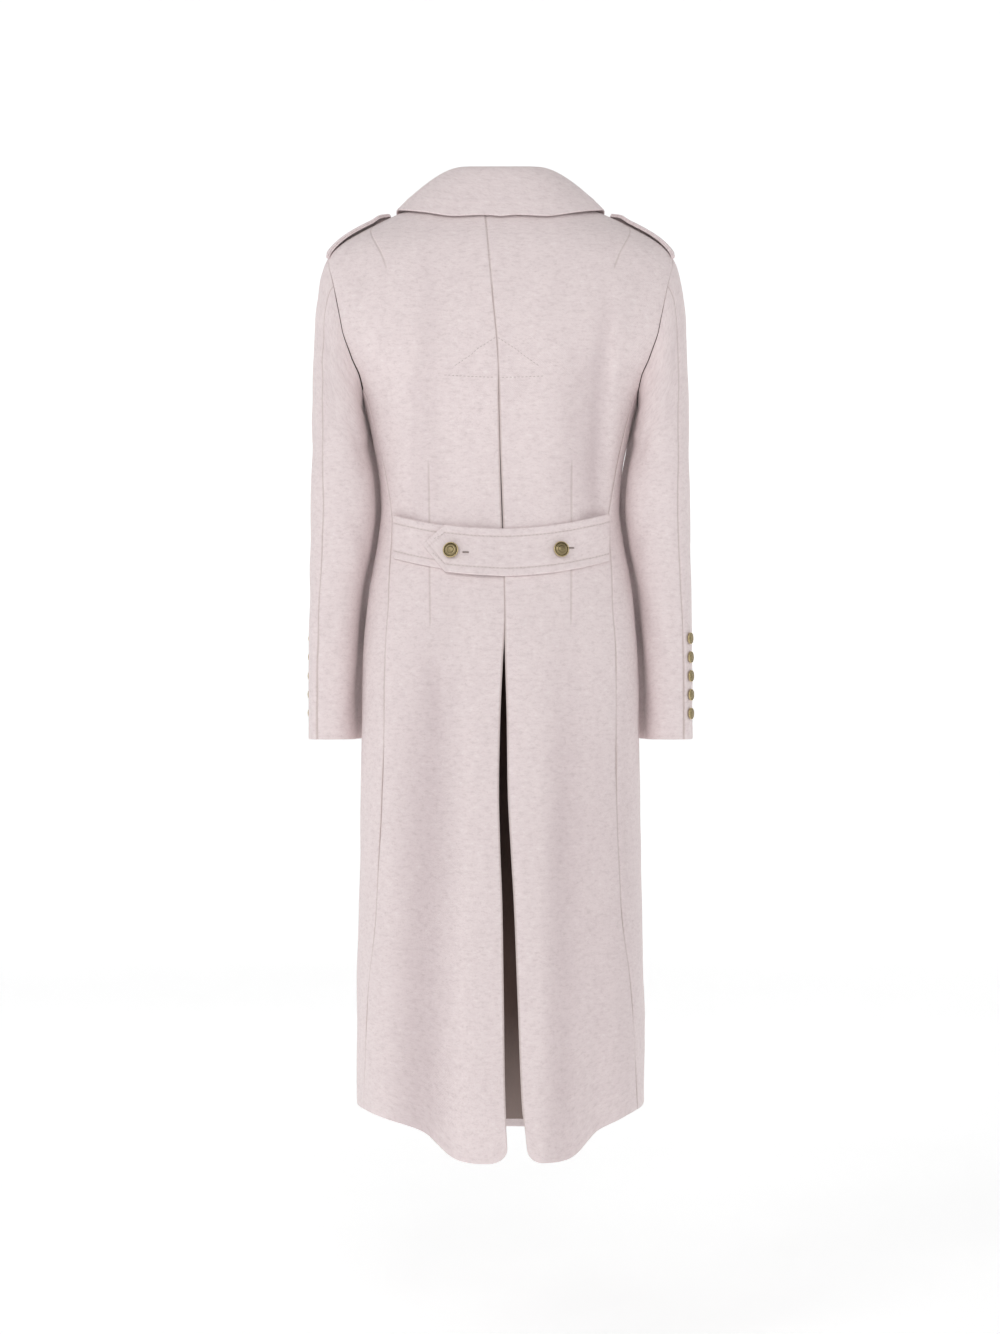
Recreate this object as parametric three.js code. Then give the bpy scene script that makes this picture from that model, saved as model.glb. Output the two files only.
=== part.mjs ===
// A long double-breasted wool coat, hollow as it is when worn, with nobody in it.
// Millimetres, +Z up. The front looks along -Y, the wearer's left is +X.
// The origin is the middle of the neck, at the height where the coat bears on the shoulders.
//
// The body is one cloth surface. A place on it is (s, z): z is the height, and s goes round it,
// 0 at the middle of the back, 1 at the wearer's left side, 2 at the middle of the front,
// -1 at the right side. Panels, belt, flaps and lapels are all cut from that surface.
import * as THREE from 'three';

// Driving sizes.
const WALL = 2.6;               // thickness of the wool cloth
const UNDERLAY_WALL = 1.8;
const LINING_WALL = 1.2;
const LINING_CLEAR = 1.2;       // the lining hangs a little clear of the cloth
const SEAM = 0.3;               // space left between two pieces sewn together
const LAYER = WALL + 0.35;      // one cloth lying on another
const HEM_Z = -1172;            // hem at the middle of the back and of the front
const HEM_FADE = 190;           // height over which the rows level out above the hem
const VENT_CORNER = 17;         // radius of the two corners at the foot of the vent
const SHOULDER_Z = -57;         // shoulder tip
const NECK_SIDE_Z = 18;         // neck end of the shoulder seam
const NECK_BACK_Z = 3;          // middle of the back neckline
const ARM_MID_Z = -148.5;       // armhole: middle height
const ARM_HALF = 91.5;          // armhole: half its height
const ARM_CUT_BACK = 0.31;      // armhole: how far its loop reaches round to the back, in s
const ARM_CUT_FRONT = 0.36;
const SIDE_TOP_Z = -225;        // where the side-back seam meets the armhole
const OVERLAP = 75;             // front edge, past the middle
const BREAK_Z = -238;           // foot of the lapel roll
const ROLL_FOOT_X = 68;
const ROLL_HEAD_X = 62;
const ARM_TURN_IN = 22;         // how far the front of a sleeve swings in towards the body
const MM_PER_S = 230;           // about how wide the cloth is for each 1 of s

const WOOL = { color: 0xded3d1, roughness: 0.95, metalness: 0 };
const LINING = { color: 0x3a2a24, roughness: 0.6, metalness: 0 };
const GOLD = { color: 0x8d6f3c, roughness: 0.42, metalness: 0.9 };

// Sections of the body, from the neck to the hem: half width at the side, depth of the back
// and of the front, and how full the corners between them are (0.55 is an ellipse).
const sections = [
  { z: 24, side: 62, back: 57, front: 42, fullBack: 0.55, fullFront: 0.55 },
  { z: 18, side: 75, back: 62, front: 47, fullBack: 0.55, fullFront: 0.55 },
  { z: 5, side: 109, back: 71, front: 57, fullBack: 0.55, fullFront: 0.55 },
  { z: -5, side: 134, back: 76, front: 63, fullBack: 0.55, fullFront: 0.55 },
  { z: -23, side: 171, back: 85, front: 73, fullBack: 0.55, fullFront: 0.55 },
  { z: -43, side: 204, back: 94, front: 83, fullBack: 0.56, fullFront: 0.56 },
  { z: -57, side: 217, back: 98, front: 89, fullBack: 0.57, fullFront: 0.57 },
  { z: -80, side: 224, back: 103, front: 98, fullBack: 0.59, fullFront: 0.58 },
  { z: -110, side: 226, back: 108, front: 108, fullBack: 0.61, fullFront: 0.59 },
  { z: -150, side: 221, back: 112, front: 118, fullBack: 0.62, fullFront: 0.60 },
  { z: -186, side: 204, back: 113, front: 124, fullBack: 0.62, fullFront: 0.60 },
  { z: -211, side: 186, back: 112, front: 126, fullBack: 0.62, fullFront: 0.60 },
  { z: -240, side: 172, back: 110, front: 124, fullBack: 0.62, fullFront: 0.60 },
  { z: -285, side: 161, back: 104, front: 117, fullBack: 0.61, fullFront: 0.60 },
  { z: -336, side: 152, back: 96, front: 107, fullBack: 0.60, fullFront: 0.60 },
  { z: -372, side: 150, back: 92, front: 102, fullBack: 0.60, fullFront: 0.60 },
  { z: -412, side: 154, back: 91, front: 100, fullBack: 0.60, fullFront: 0.60 },
  { z: -450, side: 161, back: 97, front: 104, fullBack: 0.60, fullFront: 0.60 },
  { z: -500, side: 168, back: 108, front: 111, fullBack: 0.60, fullFront: 0.60 },
  { z: -560, side: 173, back: 118, front: 118, fullBack: 0.60, fullFront: 0.59 },
  { z: -664, side: 175, back: 129, front: 126, fullBack: 0.59, fullFront: 0.58 },
  { z: -860, side: 178, back: 143, front: 139, fullBack: 0.58, fullFront: 0.57 },
  { z: -1000, side: 181, back: 153, front: 149, fullBack: 0.58, fullFront: 0.57 },
  { z: -1100, side: 181, back: 161, front: 156, fullBack: 0.58, fullFront: 0.57 },
  { z: -1172, side: 180, back: 166, front: 162, fullBack: 0.58, fullFront: 0.57 },
];

// The two edges of the back seam: closed down to the blades, parted over the pleat, closed
// under the belt, parted again as the open vent. Places across the back, in mm.
const backSeam = [
  { z: 10, left: 21.15, right: 20.85 },
  { z: -43, left: 16.15, right: 15.85 },
  { z: -121, left: 9.15, right: 8.85 },
  { z: -176, left: 4.15, right: 3.85 },
  { z: -213, left: 2.45, right: 2.15 },
  { z: -226, left: 3.1, right: 1.3 },
  { z: -300, left: 1.9, right: -0.7 },
  { z: -402, left: -1.2, right: -4.2 },
  { z: -440, left: -4.2, right: -4.5 },
  { z: -505, left: -5.35, right: -5.65 },
  { z: -563, left: -2.0, right: -6.7 },
  { z: -637, left: 1.3, right: -8.6 },
  { z: -723, left: 2.8, right: -9.8 },
  { z: -796, left: 1.2, right: -13.4 },
  { z: -860, left: -1.2, right: -17.0 },
  { z: -977, left: -3.0, right: -21.3 },
  { z: -1079, left: -4.3, right: -24.9 },
  { z: -1172, left: -8.0, right: -31.0 },
];

// Side-back seam: its place round the body, at each height.
const sideBackSeam = [
  { z: -225, s: 0.83 },
  { z: -300, s: 0.79 },
  { z: -400, s: 0.69 },
  { z: -450, s: 0.65 },
  { z: -510, s: 0.61 },
  { z: -610, s: 0.61 },
  { z: -860, s: 0.64 },
  { z: -980, s: 0.71 },
  { z: -1172, s: 0.79 },
];

// Large soft folds of the skirt, each a ridge (or a trough, where rise is negative) that runs
// from a place at its top to a place at the hem.
const folds = [
  { top: -560, sTop: 0.10, sHem: 0.07, width: 0.13, rise: 7 },
  { top: -620, sTop: 0.36, sHem: 0.33, width: 0.14, rise: -6 },
  { top: -560, sTop: -0.14, sHem: -0.19, width: 0.15, rise: 8 },
  { top: -600, sTop: -0.42, sHem: -0.45, width: 0.14, rise: -6 },
  { top: -600, sTop: 0.60, sHem: 0.58, width: 0.15, rise: 4 },
  { top: -640, sTop: -0.70, sHem: -0.66, width: 0.15, rise: 5 },
  { top: -640, sTop: 1.35, sHem: 1.30, width: 0.16, rise: 5 },
  { top: -620, sTop: 1.62, sHem: 1.66, width: 0.14, rise: -5 },
  { top: -640, sTop: -1.36, sHem: -1.32, width: 0.16, rise: 5 },
  { top: -620, sTop: -1.64, sHem: -1.68, width: 0.14, rise: -5 },
];

// Sleeve below the armpit: inner and outer side, middle depth, half depth.
const sleeveSections = [
  { z: -296, inner: 166, outer: 237.0, middle: 1, half: 63 },
  { z: -340, inner: 158.5, outer: 238.5, middle: 0, half: 62 },
  { z: -372, inner: 156, outer: 239.0, middle: -2, half: 60 },
  { z: -412, inner: 160, outer: 239.5, middle: -5, half: 58 },
  { z: -470, inner: 171.5, outer: 240.5, middle: -9, half: 55 },
  { z: -540, inner: 179, outer: 242.0, middle: -14, half: 52 },
  { z: -600, inner: 181.5, outer: 243.0, middle: -18, half: 50 },
  { z: -662, inner: 182, outer: 243.0, middle: -22, half: 49 },
];

// Collar, from the middle of the back to its left front end: place along it, the top of the
// stand (roll), and where the leaf's edge lies over the shoulder, seen from above.
const collarSections = [
  { c: 0.00, rollX: 0, rollY: 62, rollZ: 43, edgeX: 0, edgeY: 82 },
  { c: 0.17, rollX: 28, rollY: 58, rollZ: 43.5, edgeX: 52, edgeY: 77 },
  { c: 0.33, rollX: 52, rollY: 42, rollZ: 45, edgeX: 96, edgeY: 58 },
  { c: 0.46, rollX: 66, rollY: 18, rollZ: 43, edgeX: 123, edgeY: 26 },
  { c: 0.58, rollX: 70, rollY: -6, rollZ: 35, edgeX: 128, edgeY: -10 },
  { c: 0.72, rollX: 66, rollY: -32, rollZ: 20, edgeX: 125, edgeY: -42 },
  { c: 0.86, rollX: 57, rollY: -54, rollZ: 3, edgeX: 114, edgeY: -64 },
  { c: 1.00, rollX: 46, rollY: -72, rollZ: -13, edgeX: 100, edgeY: -77 },
];

// Numbers

const mix = (a, b, t) => a + (b - a) * t;

function ramp(from, to, value) {
  const t = Math.min(1, Math.max(0, (value - from) / (to - from)));
  return t * t * (3 - 2 * t);
}

// A smooth curve through one column of a table, which never swings past its values.
function curve(table, place, column) {
  const rows = [...table].sort((a, b) => a[place] - b[place]);
  const x = rows.map((row) => row[place]);
  const y = rows.map((row) => row[column]);
  const slope = x.slice(1).map((_, i) => (y[i + 1] - y[i]) / (x[i + 1] - x[i]));
  const tangent = x.map((_, i) => {
    const before = slope[Math.max(0, i - 1)];
    const after = slope[Math.min(slope.length - 1, i)];
    return before * after <= 0 ? 0 : (2 * before * after) / (before + after);
  });
  return (value) => {
    const clamped = Math.min(x[x.length - 1], Math.max(x[0], value));
    let i = 0;
    while (i < x.length - 2 && clamped > x[i + 1]) i += 1;
    const h = x[i + 1] - x[i];
    const t = (clamped - x[i]) / h;
    const t2 = t * t;
    const t3 = t2 * t;
    return (2 * t3 - 3 * t2 + 1) * y[i] + (t3 - 2 * t2 + t) * h * tangent[i]
      + (3 * t2 - 2 * t3) * y[i + 1] + (t3 - t2) * h * tangent[i + 1];
  };
}

// Where a rising function reaches a value.
function solve(rising, low, high, value) {
  let a = low;
  let b = high;
  for (let step = 0; step < 26; step += 1) {
    const middle = (a + b) / 2;
    if (rising(middle) < value) a = middle;
    else b = middle;
  }
  return (a + b) / 2;
}

// Body surface

const side = curve(sections, 'z', 'side');
const depthBack = curve(sections, 'z', 'back');
const depthFront = curve(sections, 'z', 'front');
const fullBack = curve(sections, 'z', 'fullBack');
const fullFront = curve(sections, 'z', 'fullFront');
const seamLeft = curve(backSeam, 'z', 'left');
const seamRight = curve(backSeam, 'z', 'right');
const sideBackS = curve(sideBackSeam, 'z', 's');

// A quarter section: f is 0 in the middle of the back or front and 1 at the side.
const across = (f, full) => 3 * (1 - f) ** 2 * f * full + 3 * (1 - f) * f * f + f ** 3;
const deep = (f, full) => (1 - f) ** 3 + 3 * (1 - f) ** 2 * f + 3 * (1 - f) * f * f * full;

function bodyPoint(s, z) {
  const turn = ((s % 4) + 4) % 4;
  const hand = turn <= 2 ? 1 : -1;
  const way = turn <= 2 ? turn : 4 - turn;
  if (way <= 1) {
    const full = fullBack(z);
    return new THREE.Vector3(hand * side(z) * across(way, full), depthBack(z) * deep(way, full), z);
  }
  const full = fullFront(z);
  return new THREE.Vector3(
    hand * side(z) * across(2 - way, full), -depthFront(z) * deep(2 - way, full), z);
}

function bodyNormal(s, z) {
  const along = bodyPoint(s + 0.003, z).sub(bodyPoint(s - 0.003, z));
  const up = bodyPoint(s, z + 0.5).sub(bodyPoint(s, z - 0.5));
  return up.cross(along).normalize();
}

function foldLift(s, z) {
  return folds.reduce((total, fold) => {
    if (z > fold.top) return total;
    const down = (fold.top - z) / (fold.top - HEM_Z);
    const offset = (s - mix(fold.sTop, fold.sHem, down)) / fold.width;
    return total + fold.rise * ramp(0, 1, down) * Math.exp(-offset * offset);
  }, 0);
}

const turned = (s) => (s > 2 ? s - 4 : s);

function clothPoint(s, z, lift = 0) {
  const rise = lift + foldLift(turned(s), z);
  return bodyPoint(s, z).addScaledVector(bodyNormal(s, z), rise);
}

// The place round the back, or round the front, that is x to the wearer's left.
function backS(x, z) {
  const f = solve((t) => side(z) * across(t, fullBack(z)), 0, 1, Math.abs(x));
  return x < 0 ? -f : f;
}

function frontS(x, z) {
  const f = solve((t) => side(z) * across(t, fullFront(z)), 0, 1, Math.abs(x));
  return x < 0 ? 2 + f : 2 - f;
}

// Half a seam's space, in s.
function halfSeam(s, z) {
  const step = 0.01;
  const perS = bodyPoint(s + step, z).distanceTo(bodyPoint(s - step, z)) / (2 * step);
  return SEAM / 2 / perS;
}

// Height of the shoulders over a point of the plan.
function shoulderZ(x, y) {
  const depth = y < 0 ? depthFront : depthBack;
  const full = y < 0 ? fullFront : fullBack;
  const outside = (z) => {
    const f = solve((t) => -depth(z) * deep(t, full(z)), 0, 1, -Math.abs(y));
    return side(z) * across(f, full(z));
  };
  const width = (down) => (Math.abs(y) < depth(-down) ? outside(-down) : -1);
  return -solve(width, -24, 140, Math.abs(x));
}

function shoulderPoint(x, y, lift) {
  const z = shoulderZ(x, y);
  const s = y < 0 ? frontS(x, z) : backS(x, z);
  return clothPoint(s, z, lift);
}

// Solids

// A closed wall between an outer and an inner grid of points; wrapped grids join round.
function wall(outer, inner) {
  const rows = outer.length;
  const cols = outer[0].length;
  const positions = [...outer.flat(), ...inner.flat()].flatMap((p) => [p.x, p.y, p.z]);
  const index = [];
  const out = (i, j) => i * cols + j;
  const back = (i, j) => rows * cols + i * cols + j;
  const quad = (a, b, c, d) => index.push(a, b, c, a, c, d);
  for (let i = 0; i < rows - 1; i += 1) {
    for (let j = 0; j < cols - 1; j += 1) {
      quad(out(i, j), out(i, j + 1), out(i + 1, j + 1), out(i + 1, j));
      quad(back(i, j), back(i + 1, j), back(i + 1, j + 1), back(i, j + 1));
    }
    quad(out(i, 0), out(i + 1, 0), back(i + 1, 0), back(i, 0));
    quad(out(i, cols - 1), back(i, cols - 1), back(i + 1, cols - 1), out(i + 1, cols - 1));
  }
  for (let j = 0; j < cols - 1; j += 1) {
    quad(out(0, j), back(0, j), back(0, j + 1), out(0, j + 1));
    quad(out(rows - 1, j), out(rows - 1, j + 1), back(rows - 1, j + 1), back(rows - 1, j));
  }
  const geometry = new THREE.BufferGeometry();
  geometry.setAttribute('position', new THREE.Float32BufferAttribute(positions, 3));
  geometry.setIndex(signedVolume(positions, index) < 0 ? index.reverse() : index);
  geometry.computeVertexNormals();
  return geometry;
}

function signedVolume(positions, index) {
  const point = (i) => new THREE.Vector3().fromArray(positions, 3 * i);
  let total = 0;
  for (let i = 0; i < index.length; i += 3) {
    total += point(index[i]).dot(point(index[i + 1]).cross(point(index[i + 2])));
  }
  return total;
}

function grid(rows, cols, place) {
  return Array.from({ length: rows + 1 }, (_, i) => (
    Array.from({ length: cols + 1 }, (_, j) => place(j / cols, i / rows))));
}

// A wall through a grid of points, thickened to its inner side.
function thicken(outer, inside, thickness = WALL) {
  const rows = outer.length - 1;
  const cols = outer[0].length - 1;
  const inner = outer.map((row, i) => row.map((point, j) => {
    const along = outer[i][Math.min(cols, j + 1)].clone().sub(outer[i][Math.max(0, j - 1)]);
    const up = outer[Math.min(rows, i + 1)][j].clone().sub(outer[Math.max(0, i - 1)][j]);
    const normal = along.cross(up).normalize();
    return point.clone().addScaledVector(normal, thickness * inside);
  }));
  return wall(outer, inner);
}

// A wall that lies on the body surface. place(u, v) gives its { s, z, lift }.
function clothPiece(rows, cols, place, thickness = WALL) {
  const spots = grid(rows, cols, place);
  const outer = spots.map((row) => row.map(({ s, z, lift = 0 }) => clothPoint(s, z, lift)));
  const inner = spots.map((row) => row.map(({ s, z, lift = 0 }) => (
    clothPoint(s, z, lift - thickness))));
  return wall(outer, inner);
}

const coat = new THREE.Group();

function add(name, geometry, material, parent = coat) {
  const mesh = new THREE.Mesh(geometry, new THREE.MeshStandardMaterial(material));
  mesh.name = name;
  parent.add(mesh);
  return mesh;
}

// Edges of the panels

const armCut = (z) => Math.sqrt(Math.max(0, 1 - ((z - ARM_MID_Z) / ARM_HALF) ** 2));
const armBackS = (z) => 1 - ARM_CUT_BACK * armCut(z);
const armFrontS = (z) => 1 + ARM_CUT_FRONT * armCut(z);

function armFootZ(s) {
  const cut = s < 1 ? ARM_CUT_BACK : ARM_CUT_FRONT;
  return ARM_MID_Z - ARM_HALF * Math.sqrt(Math.max(0, 1 - ((s - 1) / cut) ** 2));
}

// Outer edge of a back panel: side-back seam, armhole, shoulder seam.
function backEdgeS(z) {
  if (z >= SHOULDER_Z) return 1 - halfSeam(1, z);
  if (z >= SIDE_TOP_Z) return armBackS(z);
  return sideBackS(z) - halfSeam(sideBackS(z), z);
}

// Side-front seam: it runs straight down from the armhole.
const SIDE_FRONT_S = armFrontS(SIDE_TOP_Z);

function frontSideS(z) {
  if (z >= SHOULDER_Z) return 1 + halfSeam(1, z);
  if (z > SIDE_TOP_Z) return armFrontS(z);
  return SIDE_FRONT_S + halfSeam(SIDE_FRONT_S, z);
}

// The roll line of the left lapel, from its foot past the middle up to the neck.
const rollX = (z) => mix(-ROLL_FOOT_X, ROLL_HEAD_X, (z - BREAK_Z) / (NECK_SIDE_Z - BREAK_Z));
const EDGE_BEND = 40;
const frontEdgeX = (z) => (z > BREAK_Z ? Math.max(-OVERLAP, rollX(z))
  : mix(-ROLL_FOOT_X, -OVERLAP, ramp(BREAK_Z, BREAK_Z - EDGE_BEND, z)));

// The hem: level beside the middle, then up to the sides. off is the part of the way to the side.
const HEM = [
  { off: 0, rise: 0 },
  { off: 0.13, rise: 0 },
  { off: 0.2, rise: 2 },
  { off: 0.26, rise: 8 },
  { off: 0.33, rise: 20 },
  { off: 0.41, rise: 33 },
  { off: 0.55, rise: 43 },
  { off: 0.68, rise: 49.5 },
  { off: 0.82, rise: 52 },
  { off: 1, rise: 52 },
];
const HEM_LEAN = 0.03;          // the wave starts this much nearer the middle on the left
const hemAt = curve(HEM, 'off', 'rise');
const hemRise = (s) => {
  const signed = turned(s);
  const way = Math.abs(signed);
  return hemAt(Math.min(1, Math.min(way, 2 - way) + HEM_LEAN * Math.sin(Math.PI * signed)));
};

// Height of a row on a column: the rows near the hem follow its curve.
function rowZ(s, level) {
  const fade = Math.max(0, 1 - (level - HEM_Z) / HEM_FADE);
  return level + hemRise(s) * fade;
}

// Levels of the rows from the hem to the shoulder tip, closer where the shape turns.
function levels(bands) {
  const list = bands.flatMap(({ from, to, steps }) => (
    Array.from({ length: steps }, (_, i) => mix(from, to, i / steps))));
  return [...list, bands[bands.length - 1].to];
}

const skirtBands = [
  { from: HEM_Z, to: -1110, steps: 2 },
  { from: -1110, to: -560, steps: 6 },
  { from: -560, to: -470, steps: 2 },
  { from: -470, to: -340, steps: 5 },
  { from: -340, to: SIDE_TOP_Z, steps: 3 },
];
const armBands = [
  { from: SIDE_TOP_Z, to: -180, steps: 2 },
  { from: -180, to: -95, steps: 3 },
  { from: -95, to: -66, steps: 2 },
  { from: -66, to: SHOULDER_Z, steps: 2 },
];
const SHOULDER_STEPS = 5;

// Panels

const neckZ = (s) => mix(NECK_BACK_Z, NECK_SIDE_Z, Math.min(1, Math.abs(s)) ** 2);

function backPanel(hand) {
  const list = levels([...skirtBands, ...armBands]);
  const rows = list.length - 1 + SHOULDER_STEPS;
  const innerEdge = hand > 0 ? seamLeft : seamRight;
  return clothPiece(rows, 8, (u, v) => {
    const row = Math.round(v * rows);
    const spread = u ** 1.25;
    const level = list[Math.min(row, list.length - 1)];
    let z = rowZ(hand * mix(0, sideBackS(HEM_Z), spread), level);
    if (row >= list.length) {
      const neckS = mix(backS(innerEdge(NECK_BACK_Z), NECK_BACK_Z), hand, spread);
      z = mix(SHOULDER_Z, neckZ(neckS), (row - list.length + 1) / SHOULDER_STEPS);
    }
    const first = backS(innerEdge(z), z);
    const last = hand * backEdgeS(z);
    if (row === 0) z += cornerRise(spread * Math.abs(last - first) * MM_PER_S);
    return { s: mix(first, last, spread), z };
  });
}

// The hem turns up in a round corner at the vent.
function cornerRise(distance) {
  if (distance >= VENT_CORNER) return 0;
  return VENT_CORNER - Math.sqrt(VENT_CORNER ** 2 - (VENT_CORNER - distance) ** 2);
}

function sidePanel(hand) {
  const list = levels(skirtBands);
  const rows = list.length - 1;
  const topRows = 4;
  return clothPiece(rows, 5, (u, v) => {
    const row = Math.round(v * rows);
    const z = rowZ(hand * mix(sideBackS(HEM_Z), SIDE_FRONT_S, u), list[row]);
    const seam = sideBackS(z);
    const s = mix(seam + halfSeam(seam, z), SIDE_FRONT_S - halfSeam(SIDE_FRONT_S, z), u);
    const stop = armFootZ(mix(sideBackS(SIDE_TOP_Z), SIDE_FRONT_S, u)) - SIDE_TOP_Z;
    const lift = Math.max(0, (row - rows + topRows) / topRows);
    return { s: hand * s, z: z + stop * lift };
  });
}

const LAPEL_LAYER_Z = -330;     // from here up the left lapel lies under the right front too

// The right front crosses over the left one, and over its lapel.
function frontLift(hand, s, z, early = 0) {
  if (hand > 0) return 0;
  const x = bodyPoint(s, z).x;
  const edge = frontEdgeX(z);
  const layers = 1 + ramp(LAPEL_LAYER_Z, BREAK_Z - 12, z);
  const over = ramp(edge - 50 - early, edge - 20 - early, x);
  return layers * (LAYER + 0.4) * over * ramp(-50 + early, -90 + early, z);
}

function frontPanel(hand) {
  const list = levels([...skirtBands, ...armBands]);
  const rows = list.length - 1 + SHOULDER_STEPS;
  return clothPiece(rows, 10, (u, v) => {
    const row = Math.round(v * rows);
    const level = list[Math.min(row, list.length - 1)];
    let z = rowZ(hand * mix(SIDE_FRONT_S, frontS(-OVERLAP, HEM_Z), u), level);
    if (row >= list.length) {
      z = mix(SHOULDER_Z, NECK_SIDE_Z, (row - list.length + 1) / SHOULDER_STEPS);
    }
    const s = mix(frontSideS(z), frontS(frontEdgeX(z), z), u);
    return { s: hand * s, z, lift: frontLift(hand, hand * s, z) };
  });
}

// Cloth behind the inverted pleat at the shoulder blades, sewn behind its two edges.
const PLEAT_HALF = 34;
const PLEAT_FOOT_Z = -398;
const PLEAT_TOP_Z = -214;

function pleatUnderlay() {
  return clothPiece(6, 4, (u, v) => {
    const z = mix(PLEAT_FOOT_Z, PLEAT_TOP_Z, v);
    return { s: backS(mix(-PLEAT_HALF, PLEAT_HALF, u), z), z, lift: -LAYER - 0.6 };
  }, UNDERLAY_WALL);
}

// Lining of the fronts, which shows through the vent.
const LINING_HEM_RISE = 10;
const LINING_SIDE_S = 1.04;

function frontLining() {
  const list = [HEM_Z + LINING_HEM_RISE, ...levels(skirtBands).slice(1, -1)];
  return clothPiece(list.length - 1, 14, (u, v) => {
    const s = mix(LINING_SIDE_S, 4 - LINING_SIDE_S, u);
    const z = rowZ(s, list[Math.round(v * (list.length - 1))]);
    return { s, z, lift: -LAYER - LINING_CLEAR };
  }, LINING_WALL);
}

for (const [hand, name] of [[1, 'left'], [-1, 'right']]) {
  add(`back_${name}`, backPanel(hand), WOOL);
  add(`side_${name}`, sidePanel(hand), WOOL);
  add(`front_${name}`, frontPanel(hand), WOOL);
}
add('pleat_underlay', pleatUnderlay(), WOOL);
add('lining_front', frontLining(), LINING);

// Lapels: the fronts turned back on themselves above the break.
const LAPEL_TOP_Z = -22;
const LAPEL_FOOT_Z = BREAK_Z + 3;
const LAPEL_FOOT_WIDTH = 10;
const LAPEL_TIP = { x: 128, z: -78 };
const LAPEL_BELLY = 9;          // how far its outer edge bows out
const LAPEL_EARLY = 25;

function lapel(hand) {
  return clothPiece(8, 5, (u, v) => {
    const rollZ = mix(LAPEL_FOOT_Z, LAPEL_TOP_Z, v);
    const bow = LAPEL_BELLY * Math.sin(Math.PI * v);
    const outX = mix(LAPEL_FOOT_WIDTH - ROLL_FOOT_X, LAPEL_TIP.x, v) + bow;
    const outZ = mix(LAPEL_FOOT_Z, LAPEL_TIP.z, v) - bow;
    const x = mix(rollX(rollZ), outX, u);
    const z = mix(rollZ, outZ, u);
    const s = hand * frontS(x, z);
    return { s, z, lift: frontLift(hand, s, z, LAPEL_EARLY) + LAYER + 0.3 };
  });
}

add('lapel_left', lapel(1), WOOL);
add('lapel_right', lapel(-1), WOOL);

// Collar: a stand on the neckline and a leaf that turns over it.
const collar = Object.fromEntries(['rollX', 'rollY', 'rollZ', 'edgeX', 'edgeY']
  .map((column) => [column, curve(collarSections, 'c', column)]));

const COLLAR_COLS = 22;
const COLLAR_SIDE_C = 0.5;      // where the neckline passes the shoulder seam
const NECK_CORNER_C = 0.62;     // where the neckline turns down along the roll line
const COLLAR_CLEAR = 0.8;       // the stand starts this far above the cloth

function neckPoint(c) {
  const hand = c < 0 ? -1 : 1;
  const way = Math.abs(c);
  if (way <= COLLAR_SIDE_C) {
    const s = way / COLLAR_SIDE_C;
    return bodyPoint(hand * s, neckZ(s) + COLLAR_CLEAR);
  }
  if (way <= NECK_CORNER_C) {
    const part = (way - COLLAR_SIDE_C) / (NECK_CORNER_C - COLLAR_SIDE_C);
    const s = mix(1, frontS(ROLL_HEAD_X, NECK_SIDE_Z), part);
    return bodyPoint(hand * s, NECK_SIDE_Z + 2 * COLLAR_CLEAR);
  }
  const z = mix(NECK_SIDE_Z, LAPEL_TOP_Z, (way - NECK_CORNER_C) / (1 - NECK_CORNER_C));
  return bodyPoint(hand * frontS(rollX(z) - 1.2, z), z + COLLAR_CLEAR);
}

function rollPoint(c) {
  const hand = c < 0 ? -1 : 1;
  const way = Math.abs(c);
  return new THREE.Vector3(hand * collar.rollX(way), collar.rollY(way), collar.rollZ(way));
}

function leafEdge(c) {
  const hand = c < 0 ? -1 : 1;
  const way = Math.abs(c);
  return shoulderPoint(hand * collar.edgeX(way), collar.edgeY(way), WALL + 1.4);
}

// Level direction away from the neck.
function neckOutward(c) {
  const way = leafEdge(c).sub(rollPoint(c));
  return way.setZ(0).normalize();
}

function collarStand() {
  const place = (u, v) => neckPoint(mix(-1, 1, u)).lerp(rollPoint(mix(-1, 1, u)), v);
  const outer = grid(3, COLLAR_COLS, place);
  const inner = grid(3, COLLAR_COLS, (u, v) => (
    place(u, v).addScaledVector(neckOutward(mix(-1, 1, u)), -WALL)));
  return wall(outer, inner);
}

// The leaf leaves the top of the stand, bends over it and falls on the shoulder.
const LEAF_START_IN = 2.2;
const LEAF_START_UP = WALL + 1.6;
const LEAF_BEND = 8.5;
const LEAF_FULL_OUT = 1;
const LEAF_FULL_UP = 9;

function collarLeaf() {
  const outer = grid(5, COLLAR_COLS, (u, v) => {
    const c = mix(-1, 1, u);
    const edge = leafEdge(c);
    const outward = neckOutward(c);
    const start = rollPoint(c).addScaledVector(outward, -LEAF_START_IN);
    start.z += LEAF_START_UP;
    const bend = start.clone().addScaledVector(outward, LEAF_BEND);
    const fall = start.clone().lerp(edge, 0.5).addScaledVector(outward, LEAF_FULL_OUT);
    fall.z += LEAF_FULL_UP;
    return new THREE.CubicBezierCurve3(start, bend, fall, edge).getPoint(v);
  });
  return thicken(outer, -1);
}

add('collar_stand', collarStand(), WOOL);
add('collar_leaf', collarLeaf(), WOOL);

// Sleeves
const SLEEVE_CAP_ROWS = 6;
const SLEEVE_ROWS = 9;
const BACK_SEAM_TURN = 0.31;      // back seam, as a part of a half turn from the outer side
const FRONT_SEAM_TURN = -0.62;
const CUFF_VENT_Z = -527;
const CUFF_VENT_OPEN = 2.6;
const SLEEVE_TOP_Z = sleeveSections[0].z;
const CUFF_Z = sleeveSections[sleeveSections.length - 1].z;
const sleeveInner = curve(sleeveSections, 'z', 'inner');
const sleeveOuter = curve(sleeveSections, 'z', 'outer');
const sleeveMiddle = curve(sleeveSections, 'z', 'middle');
const sleeveHalf = curve(sleeveSections, 'z', 'half');

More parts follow.
